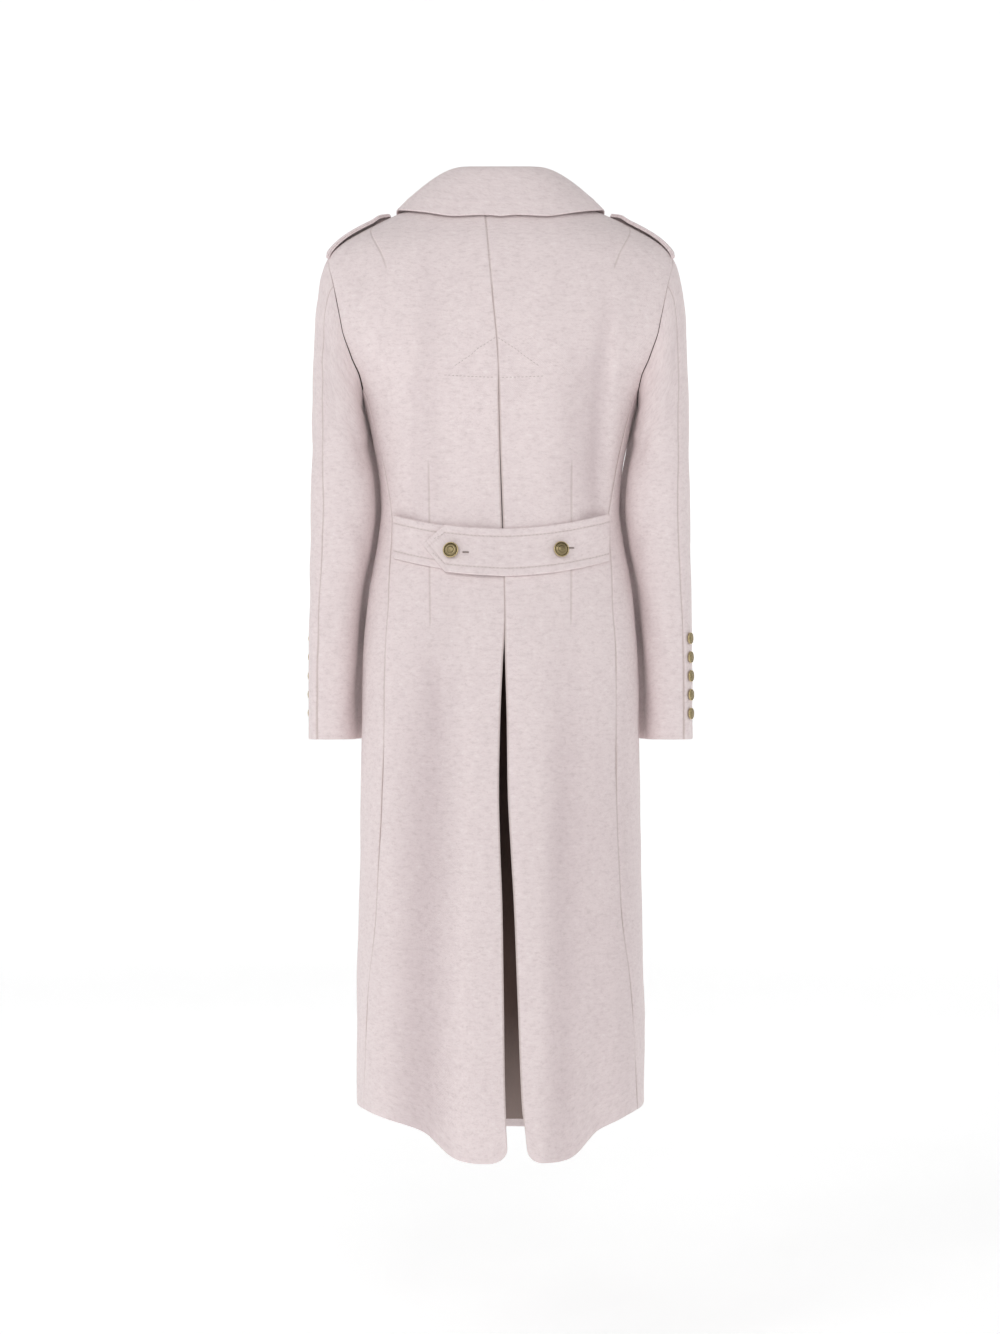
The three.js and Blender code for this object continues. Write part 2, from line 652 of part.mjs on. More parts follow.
// The armhole's loop: turn is 0 at the shoulder tip, 0.5 at the back, 1 at the armpit.
function armLoop(turn) {
  const angle = Math.PI * turn;
  const reach = Math.sin(angle) > 0 ? ARM_CUT_BACK : ARM_CUT_FRONT;
  return { s: 1 - reach * Math.sin(angle), z: ARM_MID_Z + ARM_HALF * Math.cos(angle) };
}

// Start of the sleeve at the armhole: its point, and the direction in which it leaves, which
// swings from out along the shoulder at the top to straight down at the armpit.
const SWING_TOP = 14;
const SWING_ARMPIT = 168;
const SLEEVE_DROP = 0.9;
const SLEEVE_CLEAR = 0.6;

function sleeveStart(turn) {
  const { s, z } = armLoop(turn);
  const before = armLoop(turn - 0.01);
  const after = armLoop(turn + 0.01);
  const point = bodyPoint(s, z);
  const normal = bodyNormal(s, z);
  const tangent = bodyPoint(after.s, after.z).sub(bodyPoint(before.s, before.z)).normalize();
  const inward = tangent.cross(normal).normalize();
  const centre = bodyPoint(1, ARM_MID_Z).sub(point);
  if (inward.dot(centre) < 0) inward.negate();
  const round = Math.abs(turn > 1 ? turn - 2 : turn);
  const swing = THREE.MathUtils.degToRad(mix(SWING_TOP, SWING_ARMPIT, round ** 1.7));
  const way = inward.clone().multiplyScalar(Math.cos(swing))
    .addScaledVector(normal, Math.sin(swing));
  way.z -= SLEEVE_DROP * Math.sin(Math.PI * round) ** 2;
  point.addScaledVector(inward, SLEEVE_CLEAR).addScaledVector(normal, 1 - Math.cos(swing));
  return { point, way: way.normalize(), reach: mix(30, 14, round) };
}

function sleeveRing(turn, z) {
  const middleX = (sleeveInner(z) + sleeveOuter(z)) / 2;
  const halfX = (sleeveOuter(z) - sleeveInner(z)) / 2;
  return new THREE.Vector3(
    middleX + halfX * Math.cos(Math.PI * turn)
      + ARM_TURN_IN * Math.min(0, Math.sin(Math.PI * turn)),
    sleeveMiddle(z) + sleeveHalf(z) * Math.sin(Math.PI * turn),
    z);
}

function sleevePoint(turn, row) {
  if (row <= SLEEVE_CAP_ROWS) {
    const start = sleeveStart(turn);
    const end = sleeveRing(turn, SLEEVE_TOP_Z);
    const length = start.point.distanceTo(end);
    const first = start.point.clone().addScaledVector(start.way, start.reach);
    const second = end.clone();
    second.z += 0.42 * length;
    return new THREE.CubicBezierCurve3(start.point, first, second, end)
      .getPoint(row / SLEEVE_CAP_ROWS);
  }
  const down = (row - SLEEVE_CAP_ROWS) / SLEEVE_ROWS;
  return sleeveRing(turn, mix(SLEEVE_TOP_Z, CUFF_Z, down));
}

const SLEEVE_MM_PER_TURN = 160;

function sleevePiece(hand, from, to, cols, gapFrom, gapTo) {
  const rows = SLEEVE_CAP_ROWS + SLEEVE_ROWS;
  const place = (u, row) => {
    const z = mix(SLEEVE_TOP_Z, CUFF_Z, Math.max(0, row - SLEEVE_CAP_ROWS) / SLEEVE_ROWS);
    const open = CUFF_VENT_OPEN * ramp(CUFF_VENT_Z, CUFF_Z, z);
    const start = from + (SEAM / 2 + gapFrom * open) / SLEEVE_MM_PER_TURN;
    const end = to - (SEAM / 2 + gapTo * open) / SLEEVE_MM_PER_TURN;
    const turn = mix(start, end, u);
    const point = sleevePoint(turn, row);
    const along = sleevePoint(turn + 0.01, row).sub(sleevePoint(turn - 0.01, row));
    const down = sleevePoint(turn, Math.min(rows, row + 0.1))
      .sub(sleevePoint(turn, Math.max(0, row - 0.1)));
    const normal = along.cross(down).normalize();
    const centre = sleeveRing(0, Math.min(point.z, SLEEVE_TOP_Z)).add(
      sleeveRing(1, Math.min(point.z, SLEEVE_TOP_Z))).multiplyScalar(0.5);
    return { point, normal, outward: normal.dot(point.clone().sub(centre)) };
  };
  const spots = grid(rows, cols, (u, v) => place(u, Math.round(v * rows)));
  const turnedOut = spots.flat().reduce((total, spot) => total + Math.sign(spot.outward), 0) > 0;
  const sign = turnedOut ? -1 : 1;
  const flip = (p) => new THREE.Vector3(hand * p.x, p.y, p.z);
  const outer = spots.map((row) => row.map(({ point }) => flip(point)));
  const inner = spots.map((row) => row.map(({ point, normal }) => (
    flip(point.clone().addScaledVector(normal, sign * WALL)))));
  return wall(outer, inner);
}

for (const [hand, name] of [[1, 'left'], [-1, 'right']]) {
  const upper = sleevePiece(hand, FRONT_SEAM_TURN, BACK_SEAM_TURN, 8, 0, 0.5);
  const under = sleevePiece(hand, BACK_SEAM_TURN, 2 + FRONT_SEAM_TURN, 9, 0.5, 0);
  add(`sleeve_upper_${name}`, upper, WOOL);
  add(`sleeve_under_${name}`, under, WOOL);
}

// Epaulettes, each a strap of two cloths from the armhole to near the collar.
const EPAULETTE_WALL = 4.4;
const EPAULETTE_CLEAR = 1;
const EPAULETTE_HALF = 21;
const EPAULETTE_FROM_X = 214;
const EPAULETTE_TO_X = 138;
const EPAULETTE_CROWN = 2.6;    // it arches clear of the shoulder between its ends

function epaulette(hand) {
  const outer = grid(7, 4, (u, v) => {
    const taper = 1 - 0.45 * ramp(0.8, 1, v);
    const x = mix(EPAULETTE_FROM_X, EPAULETTE_TO_X, v);
    const y = mix(-1, 1, u) * EPAULETTE_HALF * taper;
    const crown = EPAULETTE_CROWN * Math.sin(Math.PI * v);
    return shoulderPoint(hand * x, y, EPAULETTE_WALL + EPAULETTE_CLEAR + crown);
  });
  return thicken(outer, -hand, EPAULETTE_WALL);
}

add('epaulette_left', epaulette(1), WOOL);
add('epaulette_right', epaulette(-1), WOOL);

// Half belt across the back: a band from the left side-back seam, and over it a strap with a
// pointed end, which comes from the right side-back seam.
const BELT_MID_Z = -431;
const BELT_END_RISE = 19;
const BELT_END_X = 131;
const STRAP_HALF = 28.6;
const BAND_HALF = 26;
const BELT_WALL = 3;
const BELT_CLEAR = 0.9;
const STRAP_END_X = -133;
const STRAP_SQUARE_X = 67;      // here the pointed end starts
const STRAP_TIP_X = 92;
const STRAP_TIP_BLUNT = 0.06;
const STRAP_COLS = 14;
const TIP_COLS = 2;
const BAND_END_X = 36;
const BAND_RISE = 1.5;

const beltZ = (x) => BELT_MID_Z + BELT_END_RISE * (x / BELT_END_X) ** 2;

// The strap rises from the back onto the band.
function strapLift(x) {
  const low = BELT_WALL + BELT_CLEAR;
  return mix(low, low + BELT_WALL + 1.1, ramp(-4, 20, x));
}

function beltStrap() {
  return clothPiece(4, STRAP_COLS + TIP_COLS, (u, v) => {
    const col = u * (STRAP_COLS + TIP_COLS);
    const tip = Math.max(0, (col - STRAP_COLS) / TIP_COLS);
    const x = tip > 0 ? mix(STRAP_SQUARE_X, STRAP_TIP_X, tip)
      : mix(STRAP_END_X, STRAP_SQUARE_X, col / STRAP_COLS);
    const half = STRAP_HALF * mix(1, STRAP_TIP_BLUNT, tip);
    const z = beltZ(x) + mix(-half, half, v);
    return { s: backS(x, z), z, lift: strapLift(x) };
  }, BELT_WALL);
}

function beltBand() {
  return clothPiece(2, 6, (u, v) => {
    const x = mix(BAND_END_X, BELT_END_X, u);
    const z = beltZ(x) + BAND_RISE + mix(-BAND_HALF, BAND_HALF, v);
    return { s: backS(x, z), z, lift: BELT_WALL + BELT_CLEAR };
  }, BELT_WALL);
}

add('belt_strap', beltStrap(), WOOL);
add('belt_band', beltBand(), WOOL);

// Pocket flaps on the fronts, at the hips.
const FLAP = { back: 1.16, front: 1.62, topZ: -494, height: 56, slope: 16 };

function pocketFlap(hand) {
  return clothPiece(3, 6, (u, v) => {
    const s = mix(FLAP.back, FLAP.front, u);
    const z = FLAP.topZ + FLAP.slope * (FLAP.back - s) - FLAP.height * (1 - v);
    return { s: hand * s, z, lift: WALL + 0.9 + frontLift(hand, hand * s, z) };
  });
}

add('pocket_flap_left', pocketFlap(1), WOOL);
add('pocket_flap_right', pocketFlap(-1), WOOL);

// Buttons: a domed plate in a raised rim, on a short shank.
function buttonGeometry(radius, height, segments) {
  const profile = [
    [0, 0],
    [0.34, 0],
    [0.34, 0.3],
    [0.94, 0.36],
    [1, 0.62],
    [0.93, 0.8],
    [0.8, 0.7],
    [0.45, 0.93],
    [0, 1],
  ].map(([r, h]) => new THREE.Vector2(r * radius, h * height));
  const geometry = new THREE.LatheGeometry(profile, segments);
  geometry.rotateX(Math.PI / 2);
  return geometry;
}

const BUTTON_CLEAR = 0.35;

function addButton(name, point, normal, { radius, height, segments }) {
  const button = add(name, buttonGeometry(radius, height, segments), GOLD);
  button.position.copy(point).addScaledVector(normal, BUTTON_CLEAR);
  button.quaternion.setFromUnitVectors(new THREE.Vector3(0, 0, 1), normal);
}

const beltButtons = [
  { name: 'left', x: 59, z: -430 },
  { name: 'right', x: -73, z: -428 },
];
const BELT_BUTTON = { radius: 9.8, height: 7, segments: 18 };
for (const { name, x, z } of beltButtons) {
  const s = backS(x, z);
  addButton(`belt_button_${name}`, clothPoint(s, z, strapLift(x)), bodyNormal(s, z), BELT_BUTTON);
}

const CUFF_BUTTONS = 5;
const CUFF_BUTTON_TOP_Z = -536;
const CUFF_BUTTON_STEP = 23.6;
const CUFF_BUTTON = { radius: 7.4, height: 5, segments: 10 };
// The left sleeve hangs turned a little further forwards, so its buttons come round the side.
const cuffButtons = [
  { name: 'left', hand: 1, turn: -0.07 },
  { name: 'right', hand: -1, turn: 0.21 },
];
for (const { name, hand, turn } of cuffButtons) {
  for (let i = 0; i < CUFF_BUTTONS; i += 1) {
    const z = CUFF_BUTTON_TOP_Z - i * CUFF_BUTTON_STEP;
    const point = sleeveRing(turn, z);
    const next = sleeveRing(turn + 0.01, z).sub(point);
    const normal = new THREE.Vector3(hand * next.y, -next.x, 0).normalize();
    point.x *= hand;
    addButton(`cuff_button_${name}_${i + 1}`, point, normal, CUFF_BUTTON);
  }
}

const FRONT_BUTTON_X = 54;
const FRONT_BUTTON_TOP_Z = -262;
const FRONT_BUTTON_STEP = 110;
const FRONT_BUTTON_ROWS = 3;
const FRONT_BUTTON = { radius: 11.5, height: 7, segments: 12 };
for (const [column, name] of [[1, 'left'], [-1, 'right']]) {
  for (let i = 0; i < FRONT_BUTTON_ROWS; i += 1) {
    const z = FRONT_BUTTON_TOP_Z - i * FRONT_BUTTON_STEP;
    const s = turned(frontS(column * FRONT_BUTTON_X, z));
    const point = clothPoint(s, z, frontLift(-1, s, z));
    addButton(`front_button_${name}_${i + 1}`, point, bodyNormal(s, z), FRONT_BUTTON);
  }
}

export default coat;
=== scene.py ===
# Looks of a long double-breasted wool coat, hollow as it is when worn.
# Sizes are in millimetres until a mesh is made, and the place (s, z) on the body is the part's own:
# s is 0 at the middle of the back, 1 at the wearer's left side, 2 at the middle of the front.
import math

import bpy
import numpy as np
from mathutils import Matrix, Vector


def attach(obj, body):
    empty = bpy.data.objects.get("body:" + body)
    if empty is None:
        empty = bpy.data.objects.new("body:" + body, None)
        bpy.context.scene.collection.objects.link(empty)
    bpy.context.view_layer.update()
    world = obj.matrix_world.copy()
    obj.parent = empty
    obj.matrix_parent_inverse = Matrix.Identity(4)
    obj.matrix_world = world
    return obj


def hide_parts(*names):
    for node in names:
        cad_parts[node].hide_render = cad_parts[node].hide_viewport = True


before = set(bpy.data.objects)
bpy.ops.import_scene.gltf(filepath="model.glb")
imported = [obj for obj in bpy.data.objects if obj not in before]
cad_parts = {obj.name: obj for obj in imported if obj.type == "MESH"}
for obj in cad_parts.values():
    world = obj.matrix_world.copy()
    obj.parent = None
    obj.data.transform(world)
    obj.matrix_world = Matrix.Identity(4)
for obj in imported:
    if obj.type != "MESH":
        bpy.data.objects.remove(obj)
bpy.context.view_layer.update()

HANDS = ((1, "left"), (-1, "right"))
WALL = 2.6
UNDERLAY_WALL = 1.8
LINING_WALL = 1.2
SEAM = 0.06
LAYER = WALL + 0.35
MM_PER_S = 215.0
HEM_Z = -1172
HEM_FADE = 190
VENT_CORNER = 17
SHOULDER_Z = -57
NECK_SIDE_Z = 18
NECK_BACK_Z = 3
ARM_MID_Z = -148.5
ARM_HALF = 91.5
ARM_CUT_BACK = 0.31
ARM_CUT_FRONT = 0.36
SIDE_TOP_Z = -225
OVERLAP = 75
OVERLAP_DOWN = 40
BREAK_Z = -238
ROLL_FOOT_X = 68
ROLL_HEAD_X = 62


def table(names, *rows):
    """A short table with named columns."""
    return {name: np.array([row[i] for row in rows], float) for i, name in enumerate(names.split())}


SECTIONS = table(
    "z side back front full_back full_front",
    (24, 62, 57, 42, 0.55, 0.55),
    (18, 75, 62, 47, 0.55, 0.55),
    (5, 109, 71, 57, 0.55, 0.55),
    (-5, 134, 76, 63, 0.55, 0.55),
    (-23, 171, 85, 73, 0.55, 0.55),
    (-43, 204, 94, 83, 0.56, 0.56),
    (-57, 217, 98, 89, 0.57, 0.57),
    (-80, 224, 103, 98, 0.59, 0.58),
    (-110, 226, 108, 108, 0.61, 0.59),
    (-150, 221, 112, 118, 0.62, 0.60),
    (-186, 204, 113, 124, 0.62, 0.60),
    (-211, 186, 112, 126, 0.62, 0.60),
    (-240, 172, 110, 124, 0.62, 0.60),
    (-285, 161, 104, 117, 0.61, 0.60),
    (-336, 152, 96, 107, 0.60, 0.60),
    (-372, 150, 92, 102, 0.60, 0.60),
    (-412, 154, 91, 100, 0.60, 0.60),
    (-450, 161, 97, 104, 0.60, 0.60),
    (-500, 168, 108, 111, 0.60, 0.60),
    (-560, 173, 118, 118, 0.60, 0.59),
    (-664, 175, 129, 126, 0.59, 0.58),
    (-860, 178, 143, 139, 0.58, 0.57),
    (-1000, 181, 153, 149, 0.58, 0.57),
    (-1100, 181, 161, 156, 0.58, 0.57),
    (-1172, 180, 166, 162, 0.58, 0.57),
)
# The two edges of the back seam, in mm across the back.
BACK_SEAM = table(
    "z left right",
    (10, 21.15, 20.85),
    (-43, 16.15, 15.85),
    (-121, 9.15, 8.85),
    (-176, 4.15, 3.85),
    (-213, 2.45, 2.15),
    (-226, 3.1, 1.3),
    (-300, 1.9, -0.7),
    (-402, -1.2, -4.2),
    (-440, -4.2, -4.5),
    (-505, -5.35, -5.65),
    (-563, -2.0, -6.7),
    (-637, 1.3, -8.6),
    (-723, 2.8, -9.8),
    (-796, 1.2, -13.4),
    (-860, -1.2, -17.0),
    (-977, -3.0, -21.3),
    (-1079, -4.3, -24.9),
    (-1172, -8.0, -31.0),
)
SIDE_BACK_SEAM = table(
    "z s", (-225, 0.83), (-300, 0.79), (-400, 0.69), (-450, 0.65), (-510, 0.61), (-610, 0.61),
    (-860, 0.64), (-980, 0.71), (-1172, 0.79),
)
# Large soft folds of the skirt: ridges, or troughs where rise is negative.
FOLDS = table(
    "top s_top s_hem width rise",
    (-560, 0.10, 0.07, 0.13, 7),
    (-620, 0.36, 0.33, 0.14, -6),
    (-560, -0.14, -0.19, 0.15, 8),
    (-600, -0.42, -0.45, 0.14, -6),
    (-600, 0.60, 0.58, 0.15, 4),
    (-640, -0.70, -0.66, 0.15, 5),
    (-640, 1.35, 1.30, 0.16, 5),
    (-620, 1.62, 1.66, 0.14, -5),
    (-640, -1.36, -1.32, 0.16, 5),
    (-620, -1.64, -1.68, 0.14, -5),
)
# Soft creases and ridges, from (x0, z0) to (x1, z1) across the back.
BACK_CREASES = table(
    "x0 z0 x1 z1 width rise",
    (86, -545, 106, -1260, 33, -8.0),
    (24, -560, 26, -1260, 20, 3.5),
    (89, -555, 82, -660, 11, -2.6),
    (-31, -560, -36, -1260, 20, 3.0),
    (-80, -560, -72, -1260, 26, -7.0),
    (-122, -600, -118, -1260, 24, -3.2),
    (-156, -610, -156, -1220, 20, -3.6),
    (140, -700, 146, -1180, 17, 1.8),
    (86, -52, 87, -392, 19, -2.6),
    (132, -150, 128, -385, 18, 2.2),
    (107, -190, 103, -392, 11, -1.2),
    (60, -60, 64, -300, 22, 0.9),
    (-132, -105, -118, -385, 13, -4.2),
    (-104, -170, -98, -392, 28, -4.4),
    (-143, -120, -137, -390, 9, 2.6),
    (-150, -110, -146, -205, 10, 1.6),
    (-123, -265, -122, -388, 6, -1.7),
    (-58, -90, -60, -330, 20, 1.0),
    (168, -74, 178, -122, 8, -1.7),
    (150, -92, 158, -190, 13, 1.3),
    (-166, -72, -172, -120, 9, -1.3),
    (133, -379, 104, -389, 7, -3.4),
    (-101, -387, -136, -378, 7, -4.0),
    (45, -392, 10, -396, 6, -0.9),
    (-30, -396, -62, -393, 6, -0.9),
)
FRONT_CREASES = table(
    "x0 z0 x1 z1 width rise",
    (92, -560, 108, -1260, 30, -6.0),
    (40, -600, 34, -1260, 24, 2.5),
    (-88, -570, -96, -1260, 28, -6.0),
    (-30, -620, -26, -1260, 22, 2.5),
    (-148, -620, -152, -1180, 16, 2.2),
    (148, -640, 152, -1180, 16, 2.2),
    (118, -210, 108, -392, 14, -2.6),
    (-120, -200, -110, -392, 14, -2.6),
    (84, -300, 100, -410, 9, -1.5),
    (-84, -290, -98, -410, 9, -1.5),
)
SLEEVE_SECTIONS = table(
    "z inner outer middle half",
    (-296, 166, 237.0, 1, 63),
    (-340, 158.5, 238.5, 0, 62),
    (-372, 156, 239.0, -2, 60),
    (-412, 160, 239.5, -5, 58),
    (-470, 171.5, 240.5, -9, 55),
    (-540, 179, 242.0, -14, 52),
    (-600, 181.5, 243.0, -18, 50),
    (-662, 182, 243.0, -22, 49),
)
COLLAR_SECTIONS = table(
    "c roll_x roll_y roll_z edge_x edge_y",
    (0.00, 0, 62, 43, 0, 82),
    (0.17, 28, 58, 43.5, 52, 77),
    (0.33, 52, 42, 45, 96, 58),
    (0.46, 66, 18, 43, 123, 26),
    (0.58, 70, -6, 35, 128, -10),
    (0.72, 66, -32, 20, 125, -42),
    (0.86, 57, -54, 3, 114, -64),
    (1.00, 46, -72, -13, 100, -77),
)

# The hem's rise over the part of the way to the side; the wave starts nearer the middle on the left.
HEM = table(
    "off rise",
    (0, 0), (0.13, 0), (0.2, 2), (0.26, 8), (0.33, 20), (0.41, 33), (0.55, 43), (0.68, 49.5),
    (0.82, 52), (1, 52),
)
HEM_LEAN = 0.03
# Darts of the back: a line from the shoulder down past the belt, sewn only in two spans.
DARTS = table(
    "z x",
    (18, 172), (-21, 163), (-79, 141), (-150, 124), (-240, 104), (-325, 90), (-550, 87), (-800, 88),
    (-1172, 92),
)
DART_SPANS = ((10, -79), (-318, -520))
# Creases of a sleeve: x is the way round it and z the way down it, in mm.
SLEEVE_CREASES = table(
    "x0 z0 x1 z1 width rise",
    (99, 150, 125, 215, 7, -1.8),
    (88, 245, 136, 275, 8, -1.6),
    (-72, 262, -128, 300, 8, -2.2),
    (-64, 300, -120, 325, 8, -2.0),
    (56, 60, 66, 180, 10, -1.8),
    (32, 300, 45, 420, 14, 1.2),
)
# Buttonholes of the strap, right of each button.
HOLES = table("x0 x1 z", (36.0, 46.0, -432.3), (-92.0, -82.5, -425.6))
# Numbers and curves

def each(rows):
    """The rows of a table, one after another."""
    return zip(*rows.values())


def mix(a, b, t):
    return a + (b - a) * t


def ramp(start, stop, value):
    t = np.clip((np.asarray(value, float) - start) / (stop - start), 0, 1)
    return t * t * (3 - 2 * t)


def bezier(t, start, first, second, end):
    return ((1 - t) ** 3 * start + 3 * (1 - t) ** 2 * t * first
            + 3 * (1 - t) * t * t * second + t ** 3 * end)


def curve(x, y):
    """A smooth curve through points, which never swings past their values."""
    order = np.argsort(x)
    x, y = x[order], y[order]
    slope = np.diff(y) / np.diff(x)
    before = np.concatenate(([slope[0]], slope))
    after = np.concatenate((slope, [slope[-1]]))
    both = before * after
    total = np.where(both > 0, before + after, 1)
    tangent = np.where(both > 0, 2 * both / total, 0)

    def at(value):
        v = np.clip(np.asarray(value, float), x[0], x[-1])
        i = np.clip(np.searchsorted(x, v) - 1, 0, len(x) - 2)
        h = x[i + 1] - x[i]
        t = (v - x[i]) / h
        t2, t3 = t * t, t * t * t
        return ((2 * t3 - 3 * t2 + 1) * y[i] + (t3 - 2 * t2 + t) * h * tangent[i]
                + (3 * t2 - 2 * t3) * y[i + 1] + (t3 - t2) * h * tangent[i + 1])
    return at


def curves(rows):
    """A curve for each further column of a table, over its first one."""
    x, *others = rows.values()
    return [curve(x, y) for y in others]


def solve(rising, low, high, value):
    """Where a rising function reaches a value."""
    value = np.asarray(value, float)
    a = np.full(value.shape, float(low))
    b = np.full(value.shape, float(high))
    for _ in range(HALVINGS):
        middle = (a + b) / 2
        under = rising(middle) < value
        a = np.where(under, middle, a)
        b = np.where(under, b, middle)
    return (a + b) / 2


HALVINGS = 26


def unit(v):
    return v / np.maximum(np.linalg.norm(v, axis=-1, keepdims=True), 1e-9)


def stack(x, y, z):
    return np.stack(np.broadcast_arrays(x, y, z), axis=-1).astype(float)


def pair(a, b):
    return np.broadcast_arrays(np.asarray(a, float), np.asarray(b, float))


def path_run(points):
    """The way along a path to each of its points."""
    return np.concatenate(([0], np.cumsum(np.linalg.norm(np.diff(points, axis=0), axis=1))))


def rows_run(points):
    """The mean way down a grid of points to each of its rows."""
    steps = np.linalg.norm(np.diff(points, axis=0), axis=2).mean(axis=1)
    return np.concatenate(([0], np.cumsum(steps)))


# Body surface

side_at, back_at, front_at, full_back_at, full_front_at = curves(SECTIONS)
seam_left, seam_right = curves(BACK_SEAM)
side_back_s, = curves(SIDE_BACK_SEAM)
hem_at, = curves(HEM)
dart_x, = curves(DARTS)


def across(f, full):
    return 3 * (1 - f) ** 2 * f * full + 3 * (1 - f) * f * f + f ** 3


def deep(f, full):
    return (1 - f) ** 3 + 3 * (1 - f) ** 2 * f + 3 * (1 - f) * f * f * full


def body_point(s, z):
    s, z = pair(s, z)
    turn = np.mod(s, 4)
    hand = np.where(turn <= 2, 1.0, -1.0)
    way = np.where(turn <= 2, turn, 4 - turn)
    behind = way <= 1
    f = np.where(behind, way, 2 - way)
    full = np.where(behind, full_back_at(z), full_front_at(z))
    depth = np.where(behind, back_at(z), -front_at(z))
    return stack(hand * side_at(z) * across(f, full), depth * deep(f, full), z)


STEP_S = 0.003
STEP_Z = 0.5
WIDE_STEP_S = 0.01


def body_normal(s, z):
    along = body_point(s + STEP_S, z) - body_point(s - STEP_S, z)
    up = body_point(s, z + STEP_Z) - body_point(s, z - STEP_Z)
    return unit(np.cross(up, along))


def turned(s):
    return np.where(s > 2, s - 4, s)


def fold_lift(s, z):
    s, z = pair(turned(np.asarray(s, float)), z)
    total = np.zeros(s.shape)
    for top, s_top, s_hem, width, rise in each(FOLDS):
        down = np.maximum(0, (top - z) / (top - HEM_Z))
        offset = (s - mix(s_top, s_hem, down)) / width
        total += rise * ramp(0, 1, down) * np.exp(-offset * offset)
    return total


def crease_lift(rows, x, z):
    """Soft troughs and ridges along short lines, tapering out at their ends."""
    x, z = pair(x, z)
    total = np.zeros(x.shape)
    for x0, z0, x1, z1, width, rise in each(rows):
        bx, by = x1 - x0, z1 - z0
        px, py = x - x0, z - z0
        length = math.hypot(bx, by)
        t = (px * bx + py * by) / length ** 2
        off = (px * by - py * bx) / length
        total += rise * ramp(-0.15, 0.3, t) * ramp(1.15, 0.7, t) * np.exp(-(off / width) ** 2)
    return total


def body_creases(s, z):
    x = body_point(s, z)[..., 0]
    behind = np.abs(turned(s)) <= 1
    return np.where(behind, crease_lift(BACK_CREASES, x, z), crease_lift(FRONT_CREASES, x, z))


BACK_SEED, SIDE_SEED, FRONT_SEED, SLEEVE_SEED = 11, 13, 15, 21
PUCKER = 0.32
PUCKER_WAVES = 14


def seed_for(first, hand):
    return first + int(hand < 0)


def pucker(x, z, seed, size=PUCKER):
    """Very shallow unevenness of hanging wool, longer down than across."""
    rng = np.random.default_rng(seed)
    total = np.zeros(np.broadcast(x, z).shape)
    for _ in range(PUCKER_WAVES):
        wave_x = rng.uniform(28, 90)
        wave_z = rng.uniform(90, 320)
        lean = rng.uniform(-0.35, 0.35)
        phase = rng.uniform(0, 2 * np.pi)
        total += np.sin(2 * np.pi * ((x + lean * z) / wave_x * 0.6 + z / wave_z) + phase)
    return size * total / math.sqrt(PUCKER_WAVES / 2)


def cloth_base(s, z):
    return body_point(s, z) + body_normal(s, z) * fold_lift(s, z)[..., None]


def part_round(x, z, full_at):
    """The part of the way from the middle to the side where the body is as far out as x."""
    return solve(lambda t: side_at(z) * across(t, full_at(z)), 0, 1, np.abs(x))


def back_s(x, z):
    x, z = pair(x, z)
    f = part_round(x, z, full_back_at)
    return np.where(x < 0, -f, f)


def front_s(x, z):
    x, z = pair(x, z)
    f = part_round(x, z, full_front_at)
    return np.where(x < 0, 2 + f, 2 - f)


def half_seam(s, z):
    """Half the gap of a seam, as a part of the way to the side."""
    wide = body_point(s + WIDE_STEP_S, z) - body_point(s - WIDE_STEP_S, z)
    return SEAM / 2 * (2 * WIDE_STEP_S) / np.linalg.norm(wide, axis=-1)


SHOULDER_SEARCH = (-24, 140)


def shoulder_z(x, y):
    """Height of the shoulders over a point of the plan."""
    x, y = pair(x, y)
    depth_at = lambda z: np.where(y < 0, front_at(z), back_at(z))
    full_at = lambda z: np.where(y < 0, full_front_at(z), full_back_at(z))

    def outside(down):
        z = -down
        f = solve(lambda t: -depth_at(z) * deep(t, full_at(z)), 0, 1, -np.abs(y))
        return np.where(np.abs(y) < depth_at(z), side_at(z) * across(f, full_at(z)), -1)
    return -solve(outside, *SHOULDER_SEARCH, np.abs(x))


def shoulder_point(x, y, lift):
    z = shoulder_z(x, y)
    s = np.where(y < 0, front_s(x, z), back_s(x, z))
    normal = body_normal(s, z)
    return body_point(s, z) + normal * np.asarray(lift, float)[..., None], normal


# Edges of the panels

def arm_cut(z):
    return np.sqrt(np.maximum(0, 1 - ((z - ARM_MID_Z) / ARM_HALF) ** 2))


def arm_foot_z(s):
    cut = np.where(s < 1, ARM_CUT_BACK, ARM_CUT_FRONT)
    return ARM_MID_Z - ARM_HALF * np.sqrt(np.maximum(0, 1 - ((s - 1) / cut) ** 2))


SIDE_FRONT_S = float(1 + ARM_CUT_FRONT * arm_cut(np.array(float(SIDE_TOP_Z))))


def back_edge_s(z):
    low = side_back_s(z) - half_seam(side_back_s(z), z)
    arm = 1 - ARM_CUT_BACK * arm_cut(z)
    return np.where(z >= SHOULDER_Z, 1 - half_seam(1.0, z), np.where(z >= SIDE_TOP_Z, arm, low))


def front_side_s(z):
    low = SIDE_FRONT_S + half_seam(SIDE_FRONT_S, z)
    arm = 1 + ARM_CUT_FRONT * arm_cut(z)
    return np.where(z >= SHOULDER_Z, 1 + half_seam(1.0, z), np.where(z > SIDE_TOP_Z, arm, low))


def roll_x(z):
    return mix(-ROLL_FOOT_X, ROLL_HEAD_X, (z - BREAK_Z) / (NECK_SIDE_Z - BREAK_Z))


def front_edge_x(z):
    low = mix(-ROLL_FOOT_X, -OVERLAP, ramp(BREAK_Z, BREAK_Z - OVERLAP_DOWN, z))
    return np.where(z > BREAK_Z, np.maximum(-OVERLAP, roll_x(z)), low)




def hem_rise(s):
    signed = turned(s)
    way = np.abs(signed)
    return hem_at(np.clip(np.minimum(way, 2 - way) + HEM_LEAN * np.sin(np.pi * signed), 0, 1))


